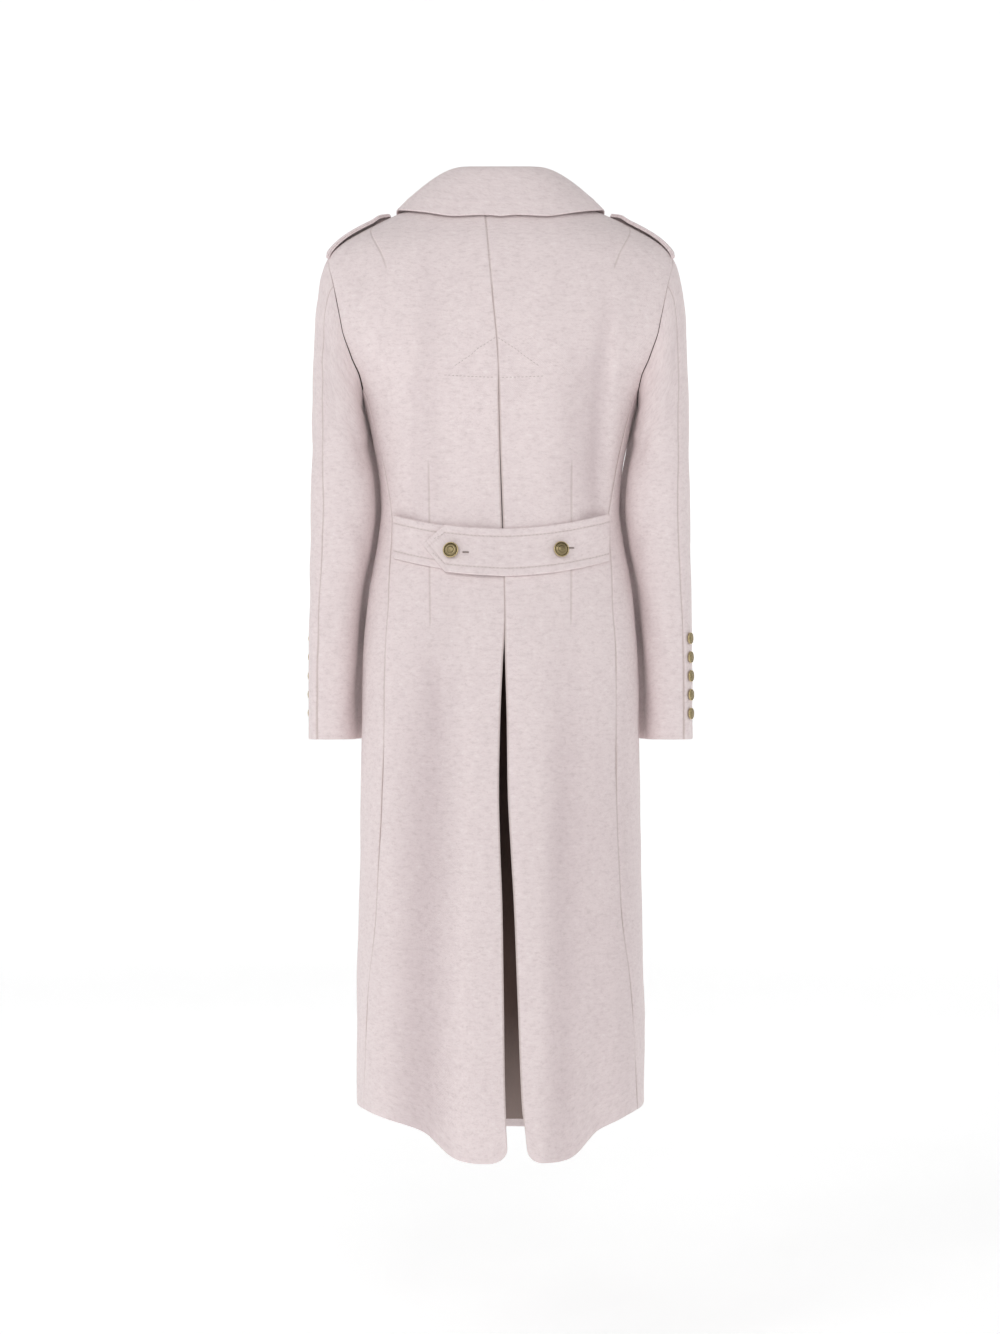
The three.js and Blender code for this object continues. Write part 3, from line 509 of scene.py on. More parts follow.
def row_z(s, level):
    return level + hem_rise(s) * np.maximum(0, 1 - (level - HEM_Z) / HEM_FADE)


def neck_z(s):
    return mix(NECK_BACK_Z, NECK_SIDE_Z, np.minimum(1, np.abs(s)) ** 2)


CROSSING_TOP_Z = -330
CROSSING_WAY = (-20, -50)
CROSSING_DOWN = (-50, -90)


def front_lift(hand, s, z, early=0):
    """The right front crosses over the left one, and over its lapel."""
    if hand > 0:
        return np.zeros(np.broadcast(s, z).shape)
    x = body_point(s, z)[..., 0]
    edge = front_edge_x(z) - early
    layers = 1 + ramp(CROSSING_TOP_Z, BREAK_Z - 12, z)
    return (layers * (LAYER + 0.4) * ramp(edge + CROSSING_WAY[1], edge + CROSSING_WAY[0], x)
            * ramp(CROSSING_DOWN[0] + early, CROSSING_DOWN[1] + early, z))


# Cloth: a grid of places, with close columns at its edges and seam lines, made into a thick wall

EDGE = np.array([0, 0.5, 1.1, 1.8, 2.8, 4.4])
LINE = np.array([-3.2, -1.9, -1.1, -0.5, 0, 0.5, 1.1, 1.9, 3.2])
ROUND = ((0.71, 0.71), (0, 1), (-0.71, 0.71))
PAIRED = ((0.9, 0.5), (0.55, 0.95), (0.12, 0.8), (0, 0.15), (-0.12, 0.8), (-0.55, 0.95), (-0.9, 0.5))


def place_columns(base, count, step, edge=EDGE, line=None, samples=200):
    """Columns of each row as parts of the way along it, the mm run to each, the rows' lengths, and
    the run to a sewn line. base(p) gives the points of the parts p, one row of them for each row."""
    p = np.tile(np.linspace(0, 1, samples), (count, 1))
    points = base(p)
    runs = np.concatenate((np.zeros((count, 1)), np.cumsum(
        np.linalg.norm(np.diff(points, axis=1), axis=2), axis=1)), axis=1)
    length = runs[:, -1:]
    shrink = np.minimum(1, length / (4.5 * edge[-1]))
    parts = [edge * shrink]

    def fill(end):
        begin = parts[-1][:, -1:]
        between = max(2, int(round(np.median(end - begin) / step)))
        parts.append(begin + (end - begin) * np.linspace(0, 1, between + 1)[1:-1])
    stop = None
    if line is not None:
        clear = 3 * edge[-1] * shrink
        stop = np.array([[np.interp(line[i], p[i], runs[i])] for i in range(count)])
        stop = np.clip(stop, clear, length - clear)
        fill(stop + LINE[0] * shrink)
        parts.append(stop + LINE * shrink)
    fill(length - edge[-1] * shrink)
    parts.append(length - edge[::-1] * shrink)
    run = np.hstack(parts)
    places = np.array([np.interp(run[i], runs[i], p[i]) for i in range(count)])
    return places, run, length, stop


SEAM_GROOVE = 0.75
DART_GROOVE = 0.6
DART_WIDTH = 1.5
STITCH_WIDTH = 1.3
# Painted shade: the groove depth and the fold depth at which the cloth is painted darkest.
GROOVE_SHADE = 1.1
FOLD_HOLLOW_SHADE_DEPTH = 7.5


def groove(distance, depth=SEAM_GROOVE, width=1.2):
    return -depth * np.exp(-(distance / width) ** 2)


def seam_grooves(run, length, seams):
    """Grooves along the first and the last column, where seams says that they are sewn down."""
    cut = np.zeros(run.shape)
    for sewn, distance in zip(seams, (run, length - run)):
        if sewn:
            cut = cut + groove(distance)
    return cut


def shading(cut, fold):
    """Painted shade: how dark the cloth is painted in its seam grooves, and in the hollows of its
    folds.
    """
    return np.clip(-cut / GROOVE_SHADE, 0, 1), np.clip(-fold / FOLD_HOLLOW_SHADE_DEPTH, 0, 1)


MATERIALS = {}


def mesh_object(name, vertices, faces, uvs, materials, face_material=None, shade=()):
    mesh = bpy.data.meshes.new(name)
    mesh.from_pydata((np.asarray(vertices) / 1000).tolist(), [], faces)
    loops = np.empty(len(mesh.loops), int)
    mesh.loops.foreach_get("vertex_index", loops)
    layer = mesh.uv_layers.new(name="cloth")
    layer.data.foreach_set("uv", (np.asarray(uvs)[loops] / 1000).ravel())
    # Painted shade of the seam grooves and the fold hollows, kept as point attributes for the wool.
    for key, values in zip(("seam", "hollow"), shade):
        attribute = mesh.attributes.new(key, "FLOAT", "POINT")
        attribute.data.foreach_set("value", np.asarray(values, float).ravel())
    for material in materials:
        mesh.materials.append(MATERIALS[material])
    if face_material is not None:
        mesh.polygons.foreach_set("material_index", face_material)
    mesh.polygons.foreach_set("use_smooth", [True] * len(mesh.polygons))
    mesh.update()
    made = bpy.data.objects.new(name, mesh)
    bpy.context.scene.collection.objects.link(made)
    return made


def outward(vertices, faces):
    """The faces of a closed mesh, turned so that they all look outward."""
    total = 0.0
    for size in {len(face) for face in faces}:
        group = np.array([face for face in faces if len(face) == size])
        v = vertices[group]
        for k in range(1, size - 1):
            total += np.einsum("ij,ij->i", v[:, 0], np.cross(v[:, k], v[:, k + 1])).sum()
    return [face[::-1] for face in faces] if total < 0 else faces


CAP_ANGLES = (math.radians(40), math.radians(75))


def shell(name, outer, inner, run, down, materials, rim, profile, facing, shade):
    """A closed wall. rim gives how far its four edges round out: first and last column, which may
    be one value for each row, then first and last row."""
    rows, cols = outer.shape[:2]
    turns = len(profile)
    heights, swell = np.array(profile, float).T
    middle, half = (outer + inner) / 2, (outer - inner) / 2

    def side(column, next_column, reach):
        reach = np.broadcast_to(np.asarray(reach, float), (rows,))
        away = unit(outer[:, column] - outer[:, next_column])
        return (middle[:, column, None] + half[:, column, None] * heights[None, :, None]
                + away[:, None] * reach[:, None, None] * swell[None, :, None])

    def around(front, back):
        """Values round the wall: outer side, last edge, inner side, first edge."""
        return np.concatenate((front, np.repeat(front[:, -1:], turns, axis=1), back,
                               np.repeat(front[:, :1], turns, axis=1)), axis=1)
    loop = np.concatenate((outer, side(-1, -3, rim[1]), inner[:, ::-1],
                           side(0, 2, rim[0])[:, ::-1]), axis=1)
    middles = around(middle, middle[:, ::-1])

    def cap(row, next_row, reach):
        if reach <= 0:
            return []
        away = unit(loop[row] - loop[next_row])
        return [middles[row] + (loop[row] - middles[row]) * math.cos(angle)
                + away * reach * math.sin(angle) for angle in CAP_ANGLES]
    before = cap(0, 2, rim[2])[::-1]
    after = cap(-1, -3, rim[3])
    rings = np.array([*before, *loop, *after])

    def capped(values):
        return np.array([*[values[0]] * len(before), *values, *[values[-1]] * len(after)])
    # Painted shade of the seams and the fold hollows, carried round the wall.
    dark = [capped(around(part, 0 * part)) for part in shade]
    u = capped(around(run, run[:, ::-1]))
    v = capped(np.repeat(down[:, None], loop.shape[1], axis=1))
    count, size = rings.shape[:2]
    index = np.arange(count * size).reshape(count, size)
    right = np.roll(index, -1, axis=1)
    faces = np.stack((index[:-1], right[:-1], right[1:], index[1:]), axis=-1).reshape(-1, 4).tolist()
    lined = np.zeros((count - 1, size), int)
    if facing is not None:
        column = np.arange(size)
        row_of = np.clip(np.arange(count - 1) - len(before), 0, rows - 2)
        mirrored = np.clip(2 * cols + turns - 2 - column, 0, cols - 2)
        inside = (column >= cols + turns) & (column < 2 * cols + turns - 1)
        lined[:] = facing[row_of][:, mirrored] & inside
    face_material = lined.ravel().tolist()
    for ring, flip in ((0, False), (count - 1, True)):
        first = index[ring]
        strips = [[first[j + 1], first[j], first[size - turns - 1 - j], first[size - turns - 2 - j]]
                  for j in range(cols - 1)]
        strips.append([first[k] for k in range(cols + turns, cols - 2, -1)])
        strips.append([first[0], *[first[size - 1 - k] for k in range(turns)],
                       first[size - turns - 1]])
        for strip in strips:
            faces.append([int(k) for k in (strip[::-1] if flip else strip)])
            face_material.append(0)
    vertices = rings.reshape(-1, 3)
    uvs = np.stack((u.ravel(), v.ravel()), axis=1)
    return mesh_object(name, vertices, outward(vertices, faces), uvs, materials, face_material, dark)


# Materials

WOOL_LIGHT = (0.880, 0.768, 0.768)
WOOL_MID = (0.800, 0.688, 0.694)
WOOL_DARK = (0.560, 0.455, 0.455)
# Painted shade: the colour painted into seam grooves, and the tint multiplied into fold hollows.
SEAM_SHADE = (0.460, 0.365, 0.330)
HOLLOW_PAINTED_SHADE = (0.84, 0.82, 0.83)
# Dark brown satin, dark also as painted shade inside the coat; paler towards the hem as painted light
# from below.
LINING_BROWN_AND_SHADE = (0.085, 0.050, 0.040)
LINING_PAINTED_HEM_LIGHT = (0.46, 0.36, 0.33)
GOLD_LIGHT = (0.62, 0.50, 0.27)
GOLD_DARK = (0.050, 0.036, 0.020)


class Nodes:
    """A material's node tree, built line by line."""

    def __init__(self, name):
        self.material = bpy.data.materials.new(name)
        self.material.use_nodes = True
        self.tree = self.material.node_tree
        self.tree.nodes.clear()

    def add(self, kind, inputs=(), **settings):
        node = self.tree.nodes.new(kind)
        for key, value in settings.items():
            setattr(node, key, value)
        for key, value in dict(inputs).items():
            socket = node.inputs[key]
            if isinstance(value, bpy.types.NodeSocket):
                self.tree.links.new(value, socket)
            else:
                socket.default_value = value
        return node

    def math(self, operation, a, b, clamp=False):
        node = self.add("ShaderNodeMath", {0: a, 1: b}, operation=operation, use_clamp=clamp)
        return node.outputs[0]

    def place(self, kind):
        return self.add("ShaderNodeTexCoord").outputs[kind]

    def noise(self, vector, scale, detail, rough, stretch=None):
        if stretch is not None:
            vector = self.add("ShaderNodeMapping", {"Vector": vector, "Scale": stretch}).outputs[0]
        node = self.add("ShaderNodeTexNoise",
                        {"Vector": vector, "Scale": scale, "Detail": detail, "Roughness": rough})
        return node.outputs["Fac"]

    def levels(self, value, low, high, to_low=0.0, to_high=1.0):
        node = self.add("ShaderNodeMapRange", {"Value": value, "From Min": low, "From Max": high,
                                               "To Min": to_low, "To Max": to_high}, clamp=True)
        return node.outputs[0]

    def blend(self, factor, a, b, mode="MIX"):
        node = self.add("ShaderNodeMix", data_type="RGBA", blend_type=mode)
        for socket, value in ((node.inputs[0], factor), (node.inputs[6], a), (node.inputs[7], b)):
            if isinstance(value, bpy.types.NodeSocket):
                self.tree.links.new(value, socket)
            else:
                socket.default_value = (*value, 1) if isinstance(value, tuple) else value
        return node.outputs[2]

    def layers(self, tone, rows):
        """Colours laid over a tone, each as far as its pattern rises from low to high."""
        for pattern, low, high, most, colour in rows:
            tone = self.blend(self.levels(pattern, low, high, 0, most), tone, colour)
        return tone

    def bump(self, height, strength, distance):
        return self.add("ShaderNodeBump", {"Height": height, "Strength": strength,
                                           "Distance": distance}).outputs[0]

    def surface(self, settings):
        shader = self.add("ShaderNodeBsdfPrincipled", settings)
        self.add("ShaderNodeOutputMaterial", {"Surface": shader.outputs[0]})
        return self.material


def times(colour, factor):
    return tuple(factor * c for c in colour)


def wool_material(name, painted_shade=1.0):
    """Fulled melange wool: short pale and dark fibres, a soft nap that hides the twill, and painted
    shade in the seam grooves and in the hollows of the folds.
    """
    n = Nodes(name)
    uv, place = n.place("UV"), n.place("Object")
    wide = n.noise(place, 9.0, 3.0, 0.55, (1, 1, 0.35))
    cloud = n.noise(place, 60.0, 3.0, 0.6, (1, 1, 0.8))
    mottle = n.noise(uv, 190.0, 4.0, 0.75, (0.55, 1, 1))
    fleck = n.noise(uv, 430.0, 4.0, 0.72, (0.62, 1, 1))
    hair = n.noise(uv, 900.0, 2.0, 0.6, (0.3, 1.7, 1))
    lean = n.noise(uv, 700.0, 2.0, 0.6, (1.8, 0.5, 1))
    # Painted shade: the wool is painted darker in the seam grooves and in the hollows of the folds.
    seam = n.add("ShaderNodeAttribute", attribute_name="seam").outputs["Fac"]
    hollow = n.add("ShaderNodeAttribute", attribute_name="hollow").outputs["Fac"]
    tone = n.layers(WOOL_LIGHT, (
        (wide, 0.35, 0.65, 1, times(WOOL_LIGHT, 0.965)),
        (cloud, 0.38, 0.66, 0.45, WOOL_MID),
        (mottle, 0.50, 0.72, 0.40, WOOL_DARK),
        (mottle, 0.44, 0.26, 0.75, (0.95, 0.87, 0.86)),
        (fleck, 0.56, 0.74, 0.42, WOOL_DARK),
        (fleck, 0.43, 0.28, 0.55, (0.88, 0.82, 0.80)),
        (hair, 0.6, 0.72, 0.3, (0.90, 0.85, 0.83)),
        (lean, 0.62, 0.74, 0.22, WOOL_DARK),
        (seam, 0.1, 0.7, 0.45, SEAM_SHADE)))
    tone = n.blend(hollow, tone, HOLLOW_PAINTED_SHADE, "MULTIPLY")
    # Painted shade: the whole wool can be multiplied darker, for a copy that stands in for shade.
    if painted_shade != 1.0:
        tone = n.blend(1.0, tone, (painted_shade, painted_shade, painted_shade), "MULTIPLY")
    height = n.add("ShaderNodeTexWave", {"Vector": uv, "Scale": 210.0, "Distortion": 3.0,
                                         "Detail": 1.0, "Detail Scale": 2.0},
                   wave_type="BANDS", bands_direction="DIAGONAL").outputs["Fac"]
    height = n.math("MULTIPLY", height, 0.18)
    for pattern, share in ((fleck, 0.8), (hair, 0.5), (cloud, 1.4)):
        height = n.math("ADD", height, n.math("MULTIPLY", pattern, share))
    return n.surface({
        "Base Color": tone, "Roughness": n.levels(fleck, 0.3, 0.7, 0.82, 0.97),
        "Specular IOR Level": 0.12, "Sheen Weight": 0.22, "Sheen Roughness": 0.55,
        "Sheen Tint": (1, 0.97, 0.95, 1), "Normal": n.bump(height, 0.42, 0.0008)})


def lining_material(name):
    """Brown satin, its dark tone also painted shade of the coat's dim inside, with a soft sheen
    across its long threads; paler near the hem, as painted light from below.
    """
    n = Nodes(name)
    uv = n.place("UV")
    thread = n.noise(uv, 1500.0, 2.0, 0.6, (1, 0.06, 1))
    soft = n.noise(uv, 40.0, 3.0, 0.5, (1, 0.2, 1))
    height = n.add("ShaderNodeSeparateXYZ", {0: n.place("Object")}).outputs["Z"]
    tone = n.layers(LINING_BROWN_AND_SHADE, (
        (thread, 0.3, 0.7, 1, times(LINING_BROWN_AND_SHADE, 1.5)),
        (soft, 0.35, 0.7, 0.5, times(LINING_BROWN_AND_SHADE, 2.0)),
        # Painted light: paler towards the hem.
        (height, -1.02, -1.19, 0.55, LINING_PAINTED_HEM_LIGHT)))
    return n.surface({
        "Base Color": tone, "Roughness": n.levels(soft, 0.3, 0.7, 0.34, 0.5),
        "Specular IOR Level": 0.5, "Sheen Weight": 0.1, "Anisotropic": 0.5,
        "Normal": n.bump(n.math("ADD", thread, soft), 0.3, 0.0006)})


def gold_material(name):
    """Antique gold, dark where it is hollow and rubbed bright where it stands out."""
    n = Nodes(name)
    age = n.noise(n.place("Object"), 900.0, 4.0, 0.65)
    point = n.add("ShaderNodeNewGeometry").outputs["Pointiness"]
    worn = n.math("ADD", n.levels(point, 0.485, 0.57), n.levels(age, 0.3, 0.7, -0.2, 0.35), True)
    return n.surface({
        "Base Color": n.blend(worn, GOLD_DARK, GOLD_LIGHT), "Metallic": 0.95,
        "Roughness": n.levels(worn, 0, 1, 0.5, 0.3), "Normal": n.bump(age, 0.25, 0.0002)})


def thread_material(name, colour):
    n = Nodes(name)
    twist = n.noise(n.place("Object"), 2500.0, 2.0, 0.5)
    return n.surface({
        "Base Color": n.layers(colour, ((twist, 0.35, 0.65, 1, times(colour, 0.8)),)),
        "Roughness": 0.6, "Specular IOR Level": 0.3, "Sheen Weight": 0.1,
        "Normal": n.bump(twist, 0.3, 0.0002)})


MATERIALS["wool"] = wool_material("wool_melange")
MATERIALS["lining"] = lining_material("satin_lining")
MATERIALS["gold"] = gold_material("antique_gold")
MATERIALS["thread"] = thread_material("wool_thread", (0.62, 0.53, 0.51))
MATERIALS["dark_thread"] = thread_material("buttonhole_thread", (0.30, 0.24, 0.22))
# A copy of the wool painted at 0.3 of its tone, as painted shade deep inside the pleat.
MATERIALS["wool_shade"] = wool_material("wool_painted_pleat_shade", 0.3)


# Pieces

def declare(made, node):
    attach(made, "root")
    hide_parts(node)
    return made


def cloth(name, node, points, normal, run, length, cut, fold, thickness, rim,
          material="wool", lined=None, profile=ROUND):
    """Makes and declares a cloth whose outer side goes through the points, less its cut lines."""
    outer = points + normal * cut[..., None]
    inner = points - normal * thickness
    down = rows_run(points)
    materials, facing = (material,), None
    if lined is not None:
        materials = (material, "lining")
        facing = lined(run, down[:, None] + 0 * run, length + 0 * run)[:-1, :-1]
    made = shell(name, outer, inner, run, down, materials, rim, profile, facing, shading(cut, fold))
    declare(made, node)
    return made, outer


def column(*parts):
    """One value for each row of a grid."""
    return np.concatenate(parts)[:, None]


def spaced(*bands):
    """Levels from one end to the other; each band gives its start and its step."""
    values = []
    for (start, step), (stop, _) in zip(bands[:-1], bands[1:]):
        count = max(1, int(round(abs(stop - start) / step)))
        values.extend(start + (stop - start) * np.arange(count) / count)
    values.append(bands[-1][0])
    return np.array(values)


HEM_ROWS = (0, 0.5, 1.2, 2.2, 3.6, 5.6, 8.5)
BELOW = [(HEM_Z + 12, 7.5), (-620, 6), (-380, 5), (SIDE_TOP_Z, 4), (SHOULDER_Z - 8, 2.5)]


def body_rows(top=SHOULDER_Z, neck=True):
    """Levels up to the shoulder tip, then parts of the way from there to the neckline."""
    levels = np.concatenate((HEM_Z + np.array(HEM_ROWS),
                             spaced(*[band for band in BELOW if band[0] < top], (top, 0))))
    parts = np.zeros(len(levels))
    if neck:
        more = np.concatenate((np.linspace(0, 1, 15)[1:-1], [0.955, 0.975, 0.99, 1]))
        levels = np.concatenate((levels, np.full(len(more), float(top))))
        parts = np.concatenate((parts, more))
    return levels[:, None], parts[:, None]


def corner_rise(distance):
    inside = np.clip(VENT_CORNER - distance, 0, VENT_CORNER)
    return VENT_CORNER - np.sqrt(np.maximum(0, VENT_CORNER ** 2 - inside ** 2))


def body_panel(name, node, place, rows, seams, step, line=None, line_depth=0, lift=None,
               rim=(0, 0, 1.0, 0), lined=None, seed=BACK_SEED, pucker_size=PUCKER,
               thickness=WALL, material="wool"):
    """A cloth on the body surface. place(u) gives s, z of the parts u along each row."""
    u, run, length, stop = place_columns(
        lambda p: cloth_base(*place(p)), len(rows), step, line=line)
    s, z = place(u)
    normal = body_normal(s, z)
    fold = body_creases(s, z)
    rise = fold + pucker(MM_PER_S * turned(s), z, seed, pucker_size)
    rise = rise + (0 if lift is None else lift(s, z))
    points = body_point(s, z) + normal * (fold_lift(s, z) + rise)[..., None]
    cut = seam_grooves(run, length, seams)
    if line is not None:
        cut = cut + groove(run - stop, DART_GROOVE, DART_WIDTH) * line_depth
    cloth(name, node, points, normal, run, length, cut, fold, thickness, rim,
          material, lined)


HEM_DEPTH = 45
VENT_FACING = 42
VENT_TOP_Z = -500
FRONT_FACING = 90
CORNER_FADE = 60
CORNER_MM_PER_S = 250


def back_panel(hand, word):
    levels, parts = body_rows()
    seam = seam_left if hand > 0 else seam_right
    hem_edge = float(side_back_s(float(HEM_Z)))

    def place(u):
        z = row_z(hand * hem_edge * u, levels)
        first = back_s(seam(levels), levels) + 0 * u
        last = hand * back_edge_s(row_z(hand * hem_edge, levels)) + 0 * u
        high = mix(SHOULDER_Z, neck_z(0.1), parts)
        first = np.where(parts > 0, back_s(seam(high), high), first)
        last = np.where(parts > 0, hand * (1 - half_seam(1.0, high)), last)
        s = mix(first, last, u)
        z = np.where(parts > 0, mix(SHOULDER_Z, neck_z(s), parts), z)
        width = np.abs(last - first) * CORNER_MM_PER_S
        corner = corner_rise(u * width) * np.clip(1 - (levels - HEM_Z) / CORNER_FADE, 0, 1)
        return s, z + corner

    height = np.where(parts > 0, mix(SHOULDER_Z, 12, parts), levels)[:, 0]
    s0, _ = place(np.zeros(levels.shape))
    s1, _ = place(np.ones(levels.shape))
    dart = back_s(dart_x(height), height)
    line = np.clip((dart - hand * s0[:, 0]) / np.abs(s1 - s0)[:, 0], 0.05, 0.95)
    depth = sum(ramp(low - 6, low + 6, height) * ramp(high + 6, high - 6, height)
                for high, low in DART_SPANS)
    gap = (seam_left(height) - seam_right(height) - SEAM) / 2
    open_edge = np.clip(gap, 0, 1.2)

    def lined(run, down, length):
        return (down > HEM_DEPTH) & ((run > VENT_FACING) | (height[:, None] > VENT_TOP_Z)) & (run > 0)
    body_panel(f"coat_back_{word}", f"back_{word}", place, levels, (True, True), 4.2, line,
               depth[:, None], rim=(open_edge, 0, 1.0, 0), lined=lined,
               seed=seed_for(BACK_SEED, hand))


SIDE_TOP_BLEND = 40.0


def side_panel(hand, word):
    levels, _ = body_rows(SIDE_TOP_Z, False)
    hem_edge = float(side_back_s(float(HEM_Z)))
    top_edge = float(side_back_s(float(SIDE_TOP_Z)))

    def place(u):
        z = row_z(hand * mix(hem_edge, SIDE_FRONT_S, u), levels)
        seam = side_back_s(z)
        s = mix(seam + half_seam(seam, z), SIDE_FRONT_S - half_seam(SIDE_FRONT_S, z), u)
        stop = arm_foot_z(mix(top_edge, SIDE_FRONT_S, u)) - SIDE_TOP_Z
        up = np.clip((levels - SIDE_TOP_Z + SIDE_TOP_BLEND) / SIDE_TOP_BLEND, 0, 1)
        return hand * s, z + stop * up
    body_panel(f"coat_side_{word}", f"side_{word}", place, levels, (True, True), 4.5,
               lined=lambda run, down, length: down > HEM_DEPTH, seed=seed_for(SIDE_SEED, hand))


def front_panel(hand, word):
    levels, parts = body_rows()
    hem_end = float(front_s(float(-OVERLAP), float(HEM_Z)))

    def place(u):
        z = row_z(hand * mix(SIDE_FRONT_S, hem_end, u), levels)
        z = np.where(parts > 0, mix(SHOULDER_Z, NECK_SIDE_Z, parts), z)
        first = front_side_s(z[:, :1]) + 0 * u
        last = front_s(front_edge_x(z[:, -1:]), z[:, -1:]) + 0 * u
        return hand * mix(first, last, u), z
    high = np.where(parts > 0, mix(SHOULDER_Z, NECK_SIDE_Z, parts), levels)[:, 0]
    rolled = np.where(high > BREAK_Z, 0.0, 1.1)
    body_panel(f"coat_front_{word}", f"front_{word}", place, levels, (True, False), 5.0,
               lift=lambda s, z: front_lift(hand, s, z), rim=(0, rolled, 1.0, 0),
               lined=lambda run, down, length: (down > HEM_DEPTH) & (run < length - FRONT_FACING),
               seed=seed_for(FRONT_SEED, hand))


for hand, word in HANDS:
    back_panel(hand, word)
    side_panel(hand, word)
    front_panel(hand, word)


def plain_rows(start, stop, step, fine=(0, 0.6)):
    """Levels from start to stop, closer together at both ends."""
    way = 1 if stop > start else -1
    inner = spaced((start + way * (fine[-1] + step), step), (stop - way * (fine[-1] + step), 0))
    ends = way * np.array(fine)
    return column(start + ends, inner, stop - ends[::-1])


# Cloth behind the inverted pleat, and the lining of the fronts

PLEAT_TOP_Z = -214
PLEAT_FOOT_Z = -398
PLEAT_HALF = 34


def pleat_underlay():
    rows = plain_rows(PLEAT_FOOT_Z, PLEAT_TOP_Z, 8)

    def place(u):
        z = rows + 0 * u
        return back_s(mix(-PLEAT_HALF, PLEAT_HALF, u), z), z
    # The underlay is painted in the darkened wool, as painted shade inside the pleat.
    body_panel("pleat_underlay_cloth", "pleat_underlay", place, rows, (False, False), 5,
               lift=lambda s, z: -LAYER - 0.6, rim=(0.8, 0.8, 0.6, 0.6),
               thickness=UNDERLAY_WALL, pucker_size=0, material="wool_shade")


def front_lining():
    rows = plain_rows(HEM_Z + 10, SIDE_TOP_Z - 38, 9)

    def place(u):
        s = mix(1.04, 2.96, u)
        return s, row_z(s, rows)
    body_panel("front_lining_satin", "lining_front", place, rows, (False, False), 6,
               lift=lambda s, z: -LAYER - 1.2, rim=(0.4, 0.4, 0.4, 0.4),
               thickness=LINING_WALL, pucker_size=0.25, material="lining")


pleat_underlay()
front_lining()

# Lapels
LAPEL_TOP_Z = -22
LAPEL_TIP_X = 128
LAPEL_TIP_Z = -78
LAPEL_CURVE = 9


def lapel(hand, word):
    rows = column([0, 0.004, 0.012], np.linspace(0.03, 0.97, 46), [0.988, 0.996, 1])

    def place(u):
        roll = mix(BREAK_Z + 3, LAPEL_TOP_Z, rows)
        bow = LAPEL_CURVE * np.sin(np.pi * rows)
        out_x = mix(-ROLL_FOOT_X + 10, LAPEL_TIP_X, rows) + bow
        out_z = mix(BREAK_Z + 3, LAPEL_TIP_Z, rows) - bow
        x = mix(roll_x(roll), out_x, u)
        z = mix(roll, out_z, u)
        return hand * front_s(x, z), z
    body_panel(f"coat_lapel_{word}", f"lapel_{word}", place, rows, (False, False), 4,
               lift=lambda s, z: front_lift(hand, s, z, 25) + LAYER + 0.3,
               rim=(1.2, 1.2, 0.8, 0.8), pucker_size=0)


for hand, word in HANDS:
    lapel(hand, word)


def turn_uv(made):
    """Turns the cloth's coordinates by a quarter, for a piece whose rows run across it."""
    layer = made.data.uv_layers["cloth"]
    flat = np.empty(2 * len(made.data.loops))
    layer.data.foreach_get("uv", flat)
    layer.data.foreach_set("uv", flat.reshape(-1, 2)[:, ::-1].copy().ravel())


def grid_sheet(name, node, at, rows, step, thickness, rim, stitch=None,
               profile=ROUND, seams=(False, False), edge=EDGE, lift=None, lined=None):
    """A cloth on any surface: at(u) gives the points of the parts u along each row, and the
    directions that it thickens away from. stitch is how far in its lines lie, and how deep."""
    u, run, length, _ = place_columns(lambda p: at(p)[0], len(rows), step, edge)
    points, normal = at(u)
    cut = seam_grooves(run, length, seams)
    if stitch is not None:
        offset, depth = stitch
        for distance in (run - offset, length - run - offset):
            cut = cut + groove(distance, depth, STITCH_WIDTH)
    fold = 0 * cut if lift is None else lift(u)
    points = points + normal * fold[..., None]
    made, outer = cloth(name, node, points, normal, run, length, cut, fold, thickness, rim,
                        lined=lined, profile=profile)
    return made, outer, normal


THREAD_STATIONS = np.array([0, 0.14, 0.5, 0.86, 1])
THREAD_HEIGHTS = np.array([-0.9, 0.25, 0.5, 0.25, -0.9])
THREAD_RADII = np.array([0.3, 0.9, 1, 0.9, 0.3])
THREAD_SIDES = 6


def stitches(name, node, paths, material, length=3.2, gap=1.6, radius=0.28):
    """Sewn lines: a short, sunk-ended thread after another along each path of points and normals."""
    vertices, faces = [], []
    around = np.arange(THREAD_SIDES) * 2 * np.pi / THREAD_SIDES
    last = THREAD_SIDES * (len(THREAD_STATIONS) - 1)
    for points, normals in paths:
        run = path_run(points)
        for start in np.arange(gap / 2, run[-1] - length, length + gap):
            t = start + length * THREAD_STATIONS
            middle, normal = (np.stack([np.interp(t, run, values[:, k]) for k in range(3)], axis=1)
                              for values in (points, normals))
            normal = unit(normal)
            side = unit(np.cross(middle[-1] - middle[0], normal))
            middle = middle + normal * (radius * THREAD_HEIGHTS)[:, None]
            thick = (radius * THREAD_RADII)[:, None]
            ring = (middle[:, None] + side[:, None] * (thick * np.cos(around))[..., None]
                    + normal[:, None] * (thick * np.sin(around))[..., None])
            first = len(vertices)
            vertices.extend(ring.reshape(-1, 3))
            for i in range(first, first + last, THREAD_SIDES):
                for j in range(THREAD_SIDES):
                    k = (j + 1) % THREAD_SIDES
                    faces.append([i + j, i + k, i + THREAD_SIDES + k, i + THREAD_SIDES + j])
            faces.append([first + j for j in range(THREAD_SIDES - 1, -1, -1)])
            faces.append([first + last + j for j in range(THREAD_SIDES)])
    vertices = np.array(vertices)
    made = mesh_object(name, vertices, outward(vertices, faces), vertices[:, :2], [material])
    declare(made, node)


